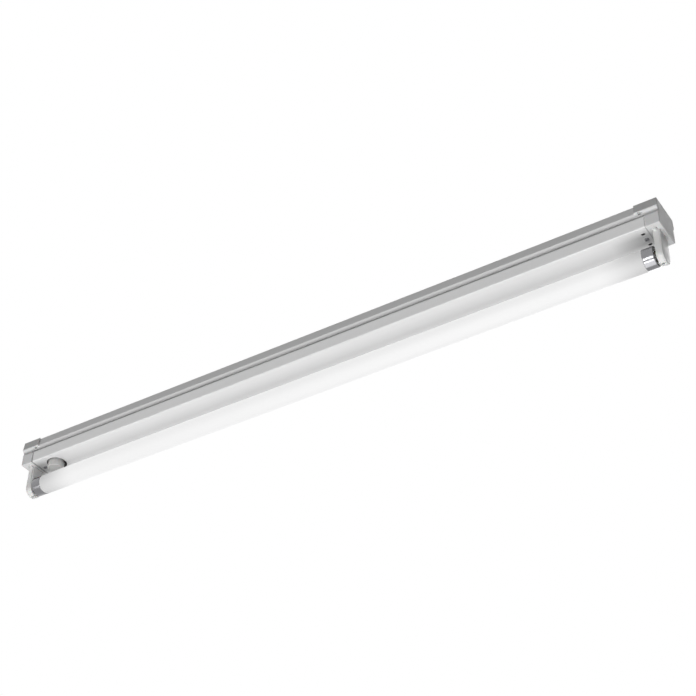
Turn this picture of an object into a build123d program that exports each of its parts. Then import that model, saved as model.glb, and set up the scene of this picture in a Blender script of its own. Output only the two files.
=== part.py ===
from build123d import *
import os
from math import hypot

os.makedirs("parts", exist_ok=True)

# A batten light for one slim fluorescent lamp, in millimetres.
# X runs along the lamp, Z points up, and the ceiling face of the spine is z = 0.

# Lamp: a quarter-turn lamp with two pins at each end
LAMP_LENGTH = 894.6  # between the outer faces of its two caps
LAMP_DIA = 25.5
LAMP_DROP = 63.2  # from the ceiling face down to the lamp's axis
LAMP_CAP_LENGTH = 14.0
LAMP_CAP_WALL = 0.4
LAMP_CAP_BEVEL = 1.2
GLASS_WALL = 0.8
GLASS_SEAT = 7.0  # how far the glass reaches into each cap
GLASS_SHOULDER = 0.8
PIN_DIA = 2.35
PIN_PITCH = 12.7
PIN_LENGTH = 7.1
PIN_BEVEL = 0.6
INSULATOR_DIA = 17.0
INSULATOR_THICK = 2.0
STEM_LENGTH = 26.0
STEM_DIA = 7.0
CATHODE_REACH = 12.0
CATHODE_SPAN = 5.0
CATHODE_WIRE = 0.8

# Lampholders
HOLDER_GAP = 1.7  # from the lamp's cap to the holder's inner face
HOLDER_THICK = 8.8
HOLDER_WIDTH = 22.4
HOLDER_REACH = 13.8  # from the lamp's axis down to the holder's round end
HOLDER_BACK = 1.6
HOLDER_EDGE = 0.7
HOLDER_RIM = 1.2  # bevel round the face that the lamp's cap stands against
FOOT_FROM_FACE = 1.3  # each side has a snap foot, beside a narrow slot in the cap
FOOT_LENGTH = 3.8
FOOT_REACH = 4.4
FOOT_THICK = 1.0
FOOT_ROUND = 1.0
FOOT_SLOT = 0.8
FOOT_SLOT_GAP = 1.2
ROOT_HEIGHT = 6.0
ROOT_INSET = 0.9
ROTOR_DIA = 15.2
ROTOR_FLANGE = 1.0
ROTOR_FLANGE_RIM = 0.9
PIN_SLOT = 2.95
CONTACT_THICK = 0.4
CONTACT_WIDTH = 3.0
CONTACT_DROP = 4.0  # how far a contact reaches below the lamp's axis
CONTACT_TAIL = 0.9

# Spine: folded sheet with flared sides that turn in at a ridge
SPINE_SHEET = 0.7
SPINE_TOP_WIDTH = 41.6
SPINE_RIDGE_WIDTH = 45.0
RIDGE_DROP = 12.3
LIP_INSET = 2.9  # how far each lip turns in from the ridge
LIP_HEIGHT = 2.9
TOP_FOLD = 1.8
FOLD_RADIUS = 1.1
FIXING_SPACING = 600.0
FIXING_SLOT_WIDTH = 5.5
FIXING_SLOT_LENGTH = 12.0
LATCH_LENGTH = 3.4
LATCH_HEIGHT = 1.5
LATCH_FROM_END = 21.8

# Gear cover: a tray whose beads snap in behind the spine's lips
COVER_SHEET = 0.6
COVER_DEPTH = 34.2  # from the ceiling face down to the tray's outside
COVER_WIDTH = 40.0
COVER_SHOULDER = 3.9  # from the lips' ends down to the shoulder
COVER_CORNER = 1.6
SHOULDER_REACH = 1.6  # how far the shoulder stands out from the bead's lower fold
BEAD_FOLD = 0.5
BEAD_DROP = 0.6  # how far the bead's lower fold lies past the lips' ends
BEAD_RISE = 3.0
BEAD_LEAD = 2.2
COVER_NOTCH_LENGTH = 1.6  # notches in the tray's ends for the holders' catches
COVER_NOTCH_WIDTH = 2.6
COVER_NOTCH_SPACING = 11.0
COVER_HOLE_LENGTH = 4.9
COVER_HOLE_WIDTH = 3.3
COVER_HOLE_SPACING = 18.9

# End caps
CAP_WALL = 1.2
CAP_END = 1.6
CAP_DEPTH = 17.0
CAP_TAB = 27.5
CAP_MARGIN = 4.7  # from the holder's outer face to the cap's outer face
CAP_BELOW_RIDGE = 1.4  # how far the tab reaches below the spine's ridge
CAP_TAB_ROUND = 2.0
CAP_EDGE = 0.5
CAP_MOUTH_BEVEL = 0.6
CAP_RIDGE_ROUND = 1.8
CAP_COVE_DEPTH = 1.1  # how far the cove below the ridge lies inside the tray's sides
CAP_COVE_ROUND = 1.6
CAP_SHOULDER_DROP = 1.3  # how far the outside's shoulder lies below the tray's
CAP_SHOULDER_ROUND = 0.9
CAP_CORNER = 1.2

# Starter and its bayonet socket
STARTER_FROM_END = 43.0
STARTER_DIA = 21.5
STARTER_LENGTH = 33.0
STARTER_PROUD = 8.7  # how far it stands out below the tray
STARTER_WALL = 0.8
STARTER_BEVEL = 1.0
STARTER_BASE = 3.0
STARTER_HOLE_DIA = 27.0
STARTER_HOLE_SHIFT = 1.3  # the hole lies this much nearer to the middle
STARTER_PIN_PITCH = 12.7
STARTER_SHANK_DIA = 3.0
STARTER_HEAD_DIA = 4.8
STARTER_HEAD = 2.0
STARTER_PIN_HEIGHT = 4.7
STARTER_TURN = 45.0
SOCKET_LENGTH = 34.0
SOCKET_WIDTH = 26.0
SOCKET_FLOOR = 2.2
SOCKET_ROUND = 5.0
SOCKET_CONTACT = 0.4
GLOW_BULB_DIA = 8.0
GLOW_BULB_LENGTH = 20.0
GLOW_BULB_TIP = 5.0
GLOW_BULB_SEAL_DIA = 3.0

# Ballast
BALLAST_X = 170.0
BALLAST_LENGTH = 140.0
BALLAST_WIDTH = 33.0
STACK_HEIGHT = 19.0
STACK_DROP = 4.7
WINDOW_LENGTH = 112.0
WINDOW_WIDTH = 8.4
LIMB_WIDTH = 11.0
WINDING_WALL = 7.4
WINDING_RISE = 3.2
BALLAST_FOOT_LENGTH = 14.0
BALLAST_FOOT_WIDTH = 20.0
BALLAST_FOOT_HEIGHT = 6.0
BALLAST_TERMINAL_LENGTH = 13.0
BALLAST_TERMINAL_WIDTH = 14.0
BALLAST_TERMINAL_HEIGHT = 11.0
BALLAST_TERMINAL_DROP = 11.0

# Terminal block, earth screw and cable entry
TERMINAL_X = -60.0
TERMINAL_LENGTH = 18.0
TERMINAL_PITCH = 8.0
TERMINAL_POLES = 3
TERMINAL_HEIGHT = 13.0
CLAMP_LENGTH = 10.0
CLAMP_WIDTH = 5.0
CLAMP_HEIGHT = 5.4
CLAMP_DROP = 4.0
TERMINAL_SCREW_DIA = 3.8
EARTH_X = -95.0
EARTH_WASHER_DIA = 9.0
EARTH_WASHER = 1.0
GROMMET_X = -150.0
CABLE_ENTRY_DIA = 20.0
GROMMET_BORE = 9.0
GROMMET_FLANGE_DIA = 25.0
GROMMET_FLANGE = 2.0
GROMMET_SLEEVE_DIA = 13.0
GROMMET_SLEEVE = 8.0

# Cover brackets and screws
COVER_SCREW_FROM_END = 24.5
BRACKET_SHEET = 1.2
BRACKET_WIDTH = 12.0
BRACKET_FOOT = 8.4
COVER_SCREW_DIA = 2.8
COVER_SCREW_HEAD_DIA = 5.4
COVER_SCREW_HEAD = 1.2
MACHINE_SCREW_DIA = 3.8
MACHINE_HEAD_DIA = 7.2
MACHINE_HEAD = 2.5

# Wiring
WIRE_DIA = 1.8
WIRE_BEND = 6.0
WIRE_LANE_DROP = 4.5
WIRE_LOW_LANE_DROP = 8.6
WIRE_LANE_GAP = 0.8

# Clearances
SNAP_GAP = 0.25
CAP_CLEAR = 0.15
SLOT_CLEAR = 0.15
RUN_CLEAR = 0.3
HOLE_CLEAR = 0.15
WIRE_END_GAP = 0.3
SHORT_OF_FACE = 0.1  # screws stop this far below the ceiling face

# Stations along X, worked out from the lamp's middle
LAMP_HALF = LAMP_LENGTH / 2
HOLDER_X = LAMP_HALF + HOLDER_GAP
HALF_LENGTH = HOLDER_X + HOLDER_THICK + CAP_MARGIN
SPINE_HALF = HALF_LENGTH - CAP_END - RUN_CLEAR
COVER_HALF = HOLDER_X - 2 * RUN_CLEAR
STARTER_X = -(HALF_LENGTH - STARTER_FROM_END)
STARTER_HOLE_X = STARTER_X + STARTER_HOLE_SHIFT
COVER_SCREW_X = HALF_LENGTH - COVER_SCREW_FROM_END
LATCH_X = HALF_LENGTH - LATCH_FROM_END
CONTACT_X = HOLDER_X + (HOLDER_THICK - HOLDER_BACK) / 2
BALLAST_FOOT_X = (BALLAST_LENGTH + BALLAST_FOOT_LENGTH) / 2
BALLAST_FEET = [(BALLAST_X - BALLAST_FOOT_X, 0), (BALLAST_X + BALLAST_FOOT_X, 0)]

# Heights, worked out from the ceiling face
WEB_Z = -SPINE_SHEET
LIP_Z = -RIDGE_DROP - LIP_HEIGHT
SHOULDER_Z = LIP_Z - COVER_SHOULDER
CAP_TAB_Z = -RIDGE_DROP - CAP_BELOW_RIDGE
COVER_Z = -COVER_DEPTH
COVER_INSIDE_Z = COVER_Z + COVER_SHEET
CAP_Z = COVER_Z - CAP_CLEAR - CAP_WALL
AXIS_Z = -LAMP_DROP
ROOT_Z = CAP_Z + CAP_WALL + ROOT_HEIGHT
STARTER_Z = COVER_Z - STARTER_PROUD
STARTER_TOP_Z = STARTER_Z + STARTER_LENGTH
SOCKET_Z = STARTER_TOP_Z + RUN_CLEAR
HEAD_TOP_Z = STARTER_TOP_Z + STARTER_PIN_HEIGHT

LAMP_AXIS = Axis((0, 0, AXIS_Z), (1, 0, 0))
LAMP_PLANE = Plane((0, 0, AXIS_Z), x_dir=(1, 0, 0), z_dir=(0, -1, 0))

# Half widths of the sheet's middle line
TOP_MID = (SPINE_TOP_WIDTH - SPINE_SHEET) / 2
RIDGE_MID = (SPINE_RIDGE_WIDTH - SPINE_SHEET) / 2
LIP_MID = RIDGE_MID - LIP_INSET
COVER_MID = (COVER_WIDTH - COVER_SHEET) / 2
WIRE_LANE_Y = SPINE_TOP_WIDTH / 2 - SPINE_SHEET - WIRE_DIA / 2 - WIRE_LANE_GAP

# The tray's bead runs parallel to the spine's lip, one snap gap inside it
LIP_LENGTH = hypot(LIP_INSET, LIP_HEIGHT)
ALONG_Y = LIP_INSET / LIP_LENGTH
ALONG_Z = LIP_HEIGHT / LIP_LENGTH
BEAD_INSET = (SPINE_SHEET + COVER_SHEET) / 2 + SNAP_GAP
BEAD_Y = LIP_MID - ALONG_Z * BEAD_INSET - ALONG_Y * BEAD_DROP
BEAD_Z = LIP_Z + ALONG_Y * BEAD_INSET - ALONG_Z * BEAD_DROP
BEAD_TOP_Y = BEAD_Y + ALONG_Y * BEAD_RISE
BEAD_TOP_Z = BEAD_Z + ALONG_Z * BEAD_RISE
SHOULDER_MID = BEAD_Y + SHOULDER_REACH


def save(piece, name):
    """Label a finished piece and write it to its own file."""
    piece.part.label = name
    export_step(piece.part, f"parts/{name}.step")


def shell_outline(grow, drop=0):
    """Return the outline round the spine and tray, grown outwards and cut off at the ceiling.

    Its shoulder lies lower than the tray's by the drop.
    """
    shoulder_y = SHOULDER_MID + COVER_SHEET / 2
    lip_y = LIP_MID + ALONG_Z * SPINE_SHEET / 2
    lip_z = LIP_Z - ALONG_Y * SPINE_SHEET / 2
    cove_y = shoulder_y - CAP_COVE_DEPTH
    cove_z = lip_z - (lip_y - cove_y) * LIP_HEIGHT / LIP_INSET
    half = [
        (SPINE_TOP_WIDTH / 2, 0),
        (SPINE_RIDGE_WIDTH / 2, -RIDGE_DROP),
        (cove_y, cove_z),
        (shoulder_y, SHOULDER_Z - drop),
        (COVER_WIDTH / 2, COVER_Z),
    ]
    with BuildSketch() as outline:
        with BuildLine():
            Polyline(*half, *[(-y, z) for y, z in reversed(half)], close=True)
        make_face()
        offset(amount=grow, kind=Kind.INTERSECTION)
        with Locations((0, grow)):
            Rectangle(2 * SPINE_RIDGE_WIDTH, 2 * grow, mode=Mode.SUBTRACT)
    return outline.sketch


def holder_outline():
    """Return a lampholder's outline: straight sides and a round end."""
    half_width = HOLDER_WIDTH / 2
    round_z = AXIS_Z - HOLDER_REACH + half_width
    with BuildSketch() as outline:
        with BuildLine():
            Polyline((0, CAP_Z), (half_width, CAP_Z), (half_width, round_z))
            CenterArc((0, round_z), half_width, 0, -90)
            mirror(about=Plane.YZ)
        make_face()
    return outline.sketch


def latch_windows():
    """Return the small windows near the two ends of the sides, seen from the front."""
    with BuildSketch() as windows:
        with Locations((-LATCH_X, CAP_TAB_Z), (LATCH_X, CAP_TAB_Z)):
            Rectangle(LATCH_LENGTH, LATCH_HEIGHT)
    return windows.sketch


# Spine
with BuildPart() as mounting_spine:
    with BuildSketch(Plane.YZ):
        with BuildLine():
            FilletPolyline(
                (-LIP_MID, LIP_Z),
                (-RIDGE_MID, -RIDGE_DROP),
                (-TOP_MID, WEB_Z / 2),
                (TOP_MID, WEB_Z / 2),
                (RIDGE_MID, -RIDGE_DROP),
                (LIP_MID, LIP_Z),
                radius=[FOLD_RADIUS, TOP_FOLD, TOP_FOLD, FOLD_RADIUS],
            )
        trace(line_width=SPINE_SHEET)
    extrude(amount=SPINE_HALF, both=True)
    with BuildSketch(Plane.XY):
        with GridLocations(FIXING_SPACING, 0, 2, 1):
            SlotOverall(FIXING_SLOT_LENGTH, FIXING_SLOT_WIDTH)
        with Locations((GROMMET_X, 0)):
            Circle(CABLE_ENTRY_DIA / 2)
        with Locations((EARTH_X, 0), *BALLAST_FEET):
            Circle(MACHINE_SCREW_DIA / 2 + HOLE_CLEAR)
    extrude(amount=-2 * SPINE_SHEET, mode=Mode.SUBTRACT)
    with BuildSketch(Plane.XZ):
        add(latch_windows())
    extrude(amount=SPINE_RIDGE_WIDTH, both=True, mode=Mode.SUBTRACT)
save(mounting_spine, "mounting_spine")

# Gear cover: below the bead its sides slope out to a shoulder, so a dark groove shows under the lips
with BuildPart() as gear_cover:
    half = [
        (BEAD_TOP_Y - ALONG_Y * BEAD_LEAD, BEAD_TOP_Z + ALONG_Z * BEAD_LEAD),
        (BEAD_TOP_Y, BEAD_TOP_Z),
        (BEAD_Y, BEAD_Z),
        (SHOULDER_MID, SHOULDER_Z),
        (COVER_MID, COVER_Z + COVER_SHEET / 2),
    ]
    with BuildSketch(Plane.YZ):
        with BuildLine():
            FilletPolyline(
                *half,
                *[(-y, z) for y, z in reversed(half)],
                radius=[BEAD_FOLD] * (len(half) - 2) + [COVER_CORNER] * 2 + [BEAD_FOLD] * (len(half) - 2),
            )
        trace(line_width=COVER_SHEET)
    extrude(amount=COVER_HALF, both=True)
    with BuildSketch(Plane.XY.offset(COVER_Z)):
        with Locations((STARTER_HOLE_X, 0)):
            Circle(STARTER_HOLE_DIA / 2)
        with Locations((-COVER_SCREW_X, 0), (COVER_SCREW_X, 0)):
            Circle(COVER_SCREW_DIA / 2 + HOLE_CLEAR)
        with Locations((COVER_SCREW_X, 0)):
            with GridLocations(0, COVER_HOLE_SPACING, 1, 2):
                SlotOverall(COVER_HOLE_LENGTH, COVER_HOLE_WIDTH)
        with GridLocations(2 * COVER_HALF, COVER_NOTCH_SPACING, 2, 2):
            Rectangle(2 * COVER_NOTCH_LENGTH, COVER_NOTCH_WIDTH)
    extrude(amount=2 * COVER_SHEET, mode=Mode.SUBTRACT)
    with BuildSketch(Plane.XZ):
        add(latch_windows())
    extrude(amount=SPINE_RIDGE_WIDTH, both=True, mode=Mode.SUBTRACT)
save(gear_cover, "gear_cover")

# End caps: a sleeve over the spine and tray, longer along the spine, with a slot for the holder
with BuildPart() as end_cap_right:
    with BuildSketch(Plane.YZ.offset(HALF_LENGTH - CAP_TAB)) as sleeve:
        add(shell_outline(CAP_CLEAR + CAP_WALL, CAP_SHOULDER_DROP))
        fillet(sleeve.vertices().group_by(Axis.Y)[3], CAP_RIDGE_ROUND)
        fillet(sleeve.vertices().group_by(Axis.Y)[2], CAP_COVE_ROUND)
        fillet(sleeve.vertices().group_by(Axis.Y)[1], CAP_SHOULDER_ROUND)
        fillet(sleeve.vertices().group_by(Axis.Y)[0], CAP_CORNER)
    extrude(amount=CAP_TAB)
    fillet(end_cap_right.faces().sort_by(Axis.X)[-1].edges(), CAP_EDGE)
    with BuildSketch(Plane.XZ) as below_tab:
        below_length = CAP_TAB - CAP_DEPTH
        with Locations((HALF_LENGTH - CAP_TAB, CAP_TAB_Z)):
            Rectangle(below_length, COVER_DEPTH, align=(Align.MIN, Align.MAX))
        fillet(below_tab.vertices().sort_by(Axis.Y)[-2:].sort_by(Axis.X)[-1], CAP_TAB_ROUND)
    extrude(amount=SPINE_RIDGE_WIDTH, both=True, mode=Mode.SUBTRACT)
    mouth = end_cap_right.faces().filter_by(Axis.X).sort_by(Axis.X)[1]
    chamfer(mouth.edges().sort_by(Axis.Z)[:-1], CAP_MOUTH_BEVEL)
    with BuildSketch(Plane.YZ.offset(HALF_LENGTH - CAP_TAB)):
        add(shell_outline(CAP_CLEAR))
    extrude(amount=CAP_TAB - CAP_END, mode=Mode.SUBTRACT)
    with BuildSketch(Plane.XZ):
        add(latch_windows())
    extrude(amount=SPINE_RIDGE_WIDTH, both=True, mode=Mode.SUBTRACT)
    with BuildSketch(Plane.XY.offset(CAP_Z)):
        with Locations((HOLDER_X + ROOT_INSET - SLOT_CLEAR, 0)):
            Rectangle(
                HOLDER_THICK - 2 * ROOT_INSET + 2 * SLOT_CLEAR,
                HOLDER_WIDTH - 2 * ROOT_INSET + 2 * SLOT_CLEAR,
                align=(Align.MIN, Align.CENTER),
            )
        with Locations((HOLDER_X + FOOT_FROM_FACE + FOOT_LENGTH + FOOT_SLOT_GAP, 0)):
            with GridLocations(0, HOLDER_WIDTH + FOOT_REACH, 1, 2):
                Rectangle(FOOT_SLOT, FOOT_REACH)
    extrude(amount=CAP_WALL + CAP_CLEAR, mode=Mode.SUBTRACT)
save(end_cap_right, "end_cap_right")

with BuildPart() as end_cap_left:
    mirror(end_cap_right.part, about=Plane.YZ)
save(end_cap_left, "end_cap_left")

# Lampholder bodies: open at the back for the rotor and contacts, slotted below for the pins
ROTOR_BORE = ROTOR_DIA / 2 + RUN_CLEAR
FLANGE_RADIUS = ROTOR_DIA / 2 + ROTOR_FLANGE_RIM
BODY_THICK = HOLDER_THICK - HOLDER_BACK
PIN_DEPTH = PIN_LENGTH - HOLDER_GAP + RUN_CLEAR
CONTACT_Y = ROTOR_BORE + CONTACT_THICK / 2
with BuildPart() as lampholder_right:
    with BuildSketch(Plane.YZ.offset(HOLDER_X)):
        add(holder_outline())
    extrude(amount=BODY_THICK)
    inner_face = lampholder_right.faces().sort_by(Axis.X)[0]
    chamfer(inner_face.edges().sort_by(Axis.Z)[:-1], HOLDER_RIM)
    with BuildSketch(Plane.XY.offset(CAP_Z)) as feet:
        with Locations((HOLDER_X + FOOT_FROM_FACE, 0)):
            Rectangle(FOOT_LENGTH, HOLDER_WIDTH + 2 * FOOT_REACH, align=(Align.MIN, Align.CENTER))
        fillet(feet.vertices(), FOOT_ROUND)
    extrude(amount=-FOOT_THICK)
    with BuildSketch(Plane.XY.offset(CAP_Z)):
        with Locations((HOLDER_X + ROOT_INSET, 0)):
            Rectangle(
                BODY_THICK - ROOT_INSET, HOLDER_WIDTH - 2 * ROOT_INSET, align=(Align.MIN, Align.CENTER)
            )
    extrude(amount=ROOT_Z - CAP_Z)
    with BuildSketch(Plane.YZ.offset(HOLDER_X)):
        with Locations((0, AXIS_Z)):
            Circle(ROTOR_BORE)
    extrude(amount=BODY_THICK, mode=Mode.SUBTRACT)
    with BuildSketch(Plane.YZ.offset(HOLDER_X + PIN_DEPTH)):
        with Locations((0, AXIS_Z)):
            Circle(FLANGE_RADIUS + RUN_CLEAR)
    extrude(amount=BODY_THICK - PIN_DEPTH, mode=Mode.SUBTRACT)
    with BuildSketch(Plane.YZ.offset(HOLDER_X)):
        with Locations((0, AXIS_Z)):
            Rectangle(PIN_SLOT, 2 * HOLDER_REACH, align=(Align.CENTER, Align.MAX))
    extrude(amount=PIN_DEPTH, mode=Mode.SUBTRACT)
    with BuildSketch(Plane.YZ.offset(CONTACT_X - CONTACT_WIDTH / 2 - SLOT_CLEAR)):
        pocket_width = CONTACT_THICK + 2 * SLOT_CLEAR
        with Locations((-CONTACT_Y, AXIS_Z - CONTACT_DROP), (CONTACT_Y, AXIS_Z - CONTACT_DROP)):
            Rectangle(pocket_width, ROOT_Z - AXIS_Z + CONTACT_DROP, align=(Align.CENTER, Align.MIN))
        with Locations((0, AXIS_Z)):
            Rectangle(2 * CONTACT_Y, 2 * CONTACT_DROP)
    extrude(amount=HOLDER_THICK, mode=Mode.SUBTRACT)
save(lampholder_right, "lampholder_right")

with BuildPart() as holder_back_right:
    with BuildSketch(Plane.YZ.offset(HOLDER_X + BODY_THICK)):
        add(holder_outline())
    extrude(amount=HOLDER_BACK)
    outer_face = holder_back_right.faces().sort_by(Axis.X)[-1]
    chamfer(outer_face.edges().sort_by(Axis.Z)[:-1], HOLDER_EDGE)
save(holder_back_right, "holder_back_right")

with BuildPart() as holder_rotor_right:
    with BuildSketch(Plane.YZ.offset(HOLDER_X)):
        with Locations((0, AXIS_Z)):
            Circle(ROTOR_DIA / 2)
    extrude(amount=PIN_DEPTH + RUN_CLEAR)
    with BuildSketch(Plane.YZ.offset(HOLDER_X)):
        with Locations((0, AXIS_Z)):
            Rectangle(ROTOR_DIA, PIN_SLOT)
    extrude(amount=PIN_DEPTH, mode=Mode.SUBTRACT)
    with BuildSketch(Plane.YZ.offset(HOLDER_X + PIN_DEPTH + RUN_CLEAR)):
        with Locations((0, AXIS_Z)):
            Circle(FLANGE_RADIUS)
    extrude(amount=ROTOR_FLANGE)
save(holder_rotor_right, "holder_rotor_right")

with BuildPart() as holder_contacts_right:
    with BuildSketch(Plane.YZ.offset(CONTACT_X - CONTACT_WIDTH / 2)):
        with Locations((-CONTACT_Y, AXIS_Z - CONTACT_DROP), (CONTACT_Y, AXIS_Z - CONTACT_DROP)):
            Rectangle(
                CONTACT_THICK,
                ROOT_Z - AXIS_Z + CONTACT_DROP + CONTACT_TAIL,
                align=(Align.CENTER, Align.MIN),
            )
    extrude(amount=CONTACT_WIDTH)
save(holder_contacts_right, "holder_contacts_right")

for right, name in (
    (lampholder_right, "lampholder_left"),
    (holder_back_right, "holder_back_left"),
    (holder_rotor_right, "holder_rotor_left"),
    (holder_contacts_right, "holder_contacts_left"),
):
    with BuildPart() as left:
        mirror(right.part, about=Plane.YZ)
    save(left, name)

# Lamp: glass with a shouldered neck at each end, inside a drawn cap
GLASS_RADIUS = LAMP_DIA / 2
NECK_RADIUS = GLASS_RADIUS - LAMP_CAP_WALL - SLOT_CLEAR
GLASS_HALF = LAMP_HALF - LAMP_CAP_LENGTH
with BuildPart() as lamp_tube:
    with BuildSketch(LAMP_PLANE):
        half = [
            (GLASS_HALF - GLASS_SHOULDER, GLASS_RADIUS),
            (GLASS_HALF, NECK_RADIUS),
            (GLASS_HALF + GLASS_SEAT, NECK_RADIUS),
            (GLASS_HALF + GLASS_SEAT, NECK_RADIUS - GLASS_WALL),
            (GLASS_HALF, NECK_RADIUS - GLASS_WALL),
            (GLASS_HALF - GLASS_SHOULDER, GLASS_RADIUS - GLASS_WALL),
        ]
        with BuildLine():
            Polyline(*half, *[(-x, r) for x, r in reversed(half)], close=True)
        make_face()
    revolve(axis=LAMP_AXIS)
save(lamp_tube, "lamp_tube")

with BuildPart() as lamp_cap_right:
    inside_end = LAMP_HALF - LAMP_CAP_WALL
    inside_radius = GLASS_RADIUS - LAMP_CAP_WALL
    with BuildSketch(LAMP_PLANE):
        with BuildLine():
            Polyline(
                (GLASS_HALF, GLASS_RADIUS),
                (LAMP_HALF - LAMP_CAP_BEVEL, GLASS_RADIUS),
                (LAMP_HALF, GLASS_RADIUS - LAMP_CAP_BEVEL),
                (LAMP_HALF, INSULATOR_DIA / 2),
                (inside_end, INSULATOR_DIA / 2),
                (inside_end, inside_radius - LAMP_CAP_BEVEL),
                (inside_end - LAMP_CAP_BEVEL, inside_radius),
                (GLASS_HALF, inside_radius),
                close=True,
            )
        make_face()
    revolve(axis=LAMP_AXIS)
save(lamp_cap_right, "lamp_cap_right")

PIN_PLANE = Plane.YZ.offset(LAMP_HALF - INSULATOR_THICK)
PIN_PLACES = [(-PIN_PITCH / 2, AXIS_Z), (PIN_PITCH / 2, AXIS_Z)]
with BuildPart() as lamp_insulator_right:
    with BuildSketch(PIN_PLANE):
        with Locations((0, AXIS_Z)):
            Circle(INSULATOR_DIA / 2 - HOLE_CLEAR)
        with Locations(*PIN_PLACES):
            Circle(PIN_DIA / 2 + HOLE_CLEAR, mode=Mode.SUBTRACT)
    extrude(amount=INSULATOR_THICK)
save(lamp_insulator_right, "lamp_insulator_right")

with BuildPart() as lamp_pins_right:
    with BuildSketch(PIN_PLANE):
        with Locations(*PIN_PLACES):
            Circle(PIN_DIA / 2)
    extrude(amount=INSULATOR_THICK + PIN_LENGTH)
    chamfer(lamp_pins_right.faces().sort_by(Axis.X)[-2:].edges(), PIN_BEVEL)
save(lamp_pins_right, "lamp_pins_right")

STEM_X = GLASS_HALF + GLASS_SEAT
with BuildPart() as lamp_stem_right:
    with BuildSketch(LAMP_PLANE):
        with BuildLine():
            Polyline(
                (STEM_X, 0),
                (STEM_X, NECK_RADIUS - GLASS_WALL - SLOT_CLEAR),
                (STEM_X - GLASS_WALL, NECK_RADIUS - GLASS_WALL - SLOT_CLEAR),
                (STEM_X - STEM_LENGTH / 2, STEM_DIA / 2),
                (STEM_X - STEM_LENGTH, STEM_DIA / 2),
                (STEM_X - STEM_LENGTH, 0),
                close=True,
            )
        make_face()
    revolve(axis=LAMP_AXIS)
save(lamp_stem_right, "lamp_stem_right")

with BuildPart() as lamp_cathode_right:
    stem_tip = STEM_X - STEM_LENGTH
    for side in (-1, 1):
        with BuildSketch(Plane.YZ.offset(stem_tip)):
            with Locations((side * CATHODE_SPAN / 2, AXIS_Z)):
                Circle(CATHODE_WIRE / 2)
        extrude(amount=-CATHODE_REACH)
    with BuildSketch(Plane.XZ):
        with Locations((stem_tip - CATHODE_REACH + CATHODE_WIRE / 2, AXIS_Z)):
            Circle(CATHODE_WIRE / 2)
    extrude(amount=CATHODE_SPAN / 2 + CATHODE_WIRE, both=True)
save(lamp_cathode_right, "lamp_cathode_right")

for right, name in (
    (lamp_cap_right, "lamp_cap_left"),
    (lamp_insulator_right, "lamp_insulator_left"),
    (lamp_pins_right, "lamp_pins_left"),
    (lamp_stem_right, "lamp_stem_left"),
    (lamp_cathode_right, "lamp_cathode_left"),
):
    with BuildPart() as left:
        mirror(right.part, about=Plane.YZ)
    save(left, name)

# Starter: a can round a glow bulb, with two headed pins in its base
with BuildPart() as starter_can:
    with BuildSketch(Plane.XY.offset(STARTER_Z)):
        with Locations((STARTER_X, 0)):
            Circle(STARTER_DIA / 2)
    extrude(amount=STARTER_LENGTH)
    chamfer(starter_can.faces().sort_by(Axis.Z)[0].edges(), STARTER_BEVEL)
    with BuildSketch(Plane.XY.offset(STARTER_Z + STARTER_WALL)):
        with Locations((STARTER_X, 0)):
            Circle(STARTER_DIA / 2 - STARTER_WALL)
    extrude(amount=STARTER_LENGTH, mode=Mode.SUBTRACT)
save(starter_can, "starter_can")

STARTER_PIN_PLACES = [
    (STARTER_X - STARTER_PIN_PITCH / 2, 0),
    (STARTER_X + STARTER_PIN_PITCH / 2, 0),
]
with BuildPart() as starter_base:
    with BuildSketch(Plane.XY.offset(STARTER_TOP_Z - STARTER_BASE)):
        with Locations((STARTER_X, 0)):
            Circle(STARTER_DIA / 2 - STARTER_WALL - HOLE_CLEAR)
        with Locations(*STARTER_PIN_PLACES):
            Circle(STARTER_SHANK_DIA / 2 + HOLE_CLEAR, mode=Mode.SUBTRACT)
    extrude(amount=STARTER_BASE)
save(starter_base, "starter_base")

with BuildPart() as starter_pins:
    with BuildSketch(Plane.XY.offset(STARTER_TOP_Z - STARTER_BASE)):
        with Locations(*STARTER_PIN_PLACES):
            Circle(STARTER_SHANK_DIA / 2)
    extrude(amount=STARTER_BASE + STARTER_PIN_HEIGHT - STARTER_HEAD)
    with BuildSketch(Plane.XY.offset(HEAD_TOP_Z - STARTER_HEAD)):
        with Locations(*STARTER_PIN_PLACES):
            Circle(STARTER_HEAD_DIA / 2)
    extrude(amount=STARTER_HEAD)
save(starter_pins, "starter_pins")

with BuildPart() as starter_glow_bulb:
    bulb_top_z = STARTER_TOP_Z - STARTER_BASE
    with BuildSketch(Plane.XY.offset(bulb_top_z)):
        with Locations((STARTER_X, 0)):
            Circle(GLOW_BULB_DIA / 2)
    extrude(amount=GLOW_BULB_TIP - GLOW_BULB_LENGTH)
    with BuildSketch(Plane.XY.offset(bulb_top_z - GLOW_BULB_LENGTH + GLOW_BULB_TIP)):
        with Locations((STARTER_X, 0)):
            Circle(GLOW_BULB_DIA / 2)
    with BuildSketch(Plane.XY.offset(bulb_top_z - GLOW_BULB_LENGTH)):
        with Locations((STARTER_X, 0)):
            Circle(GLOW_BULB_SEAL_DIA / 2)
    loft()
save(starter_glow_bulb, "starter_glow_bulb")

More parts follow.
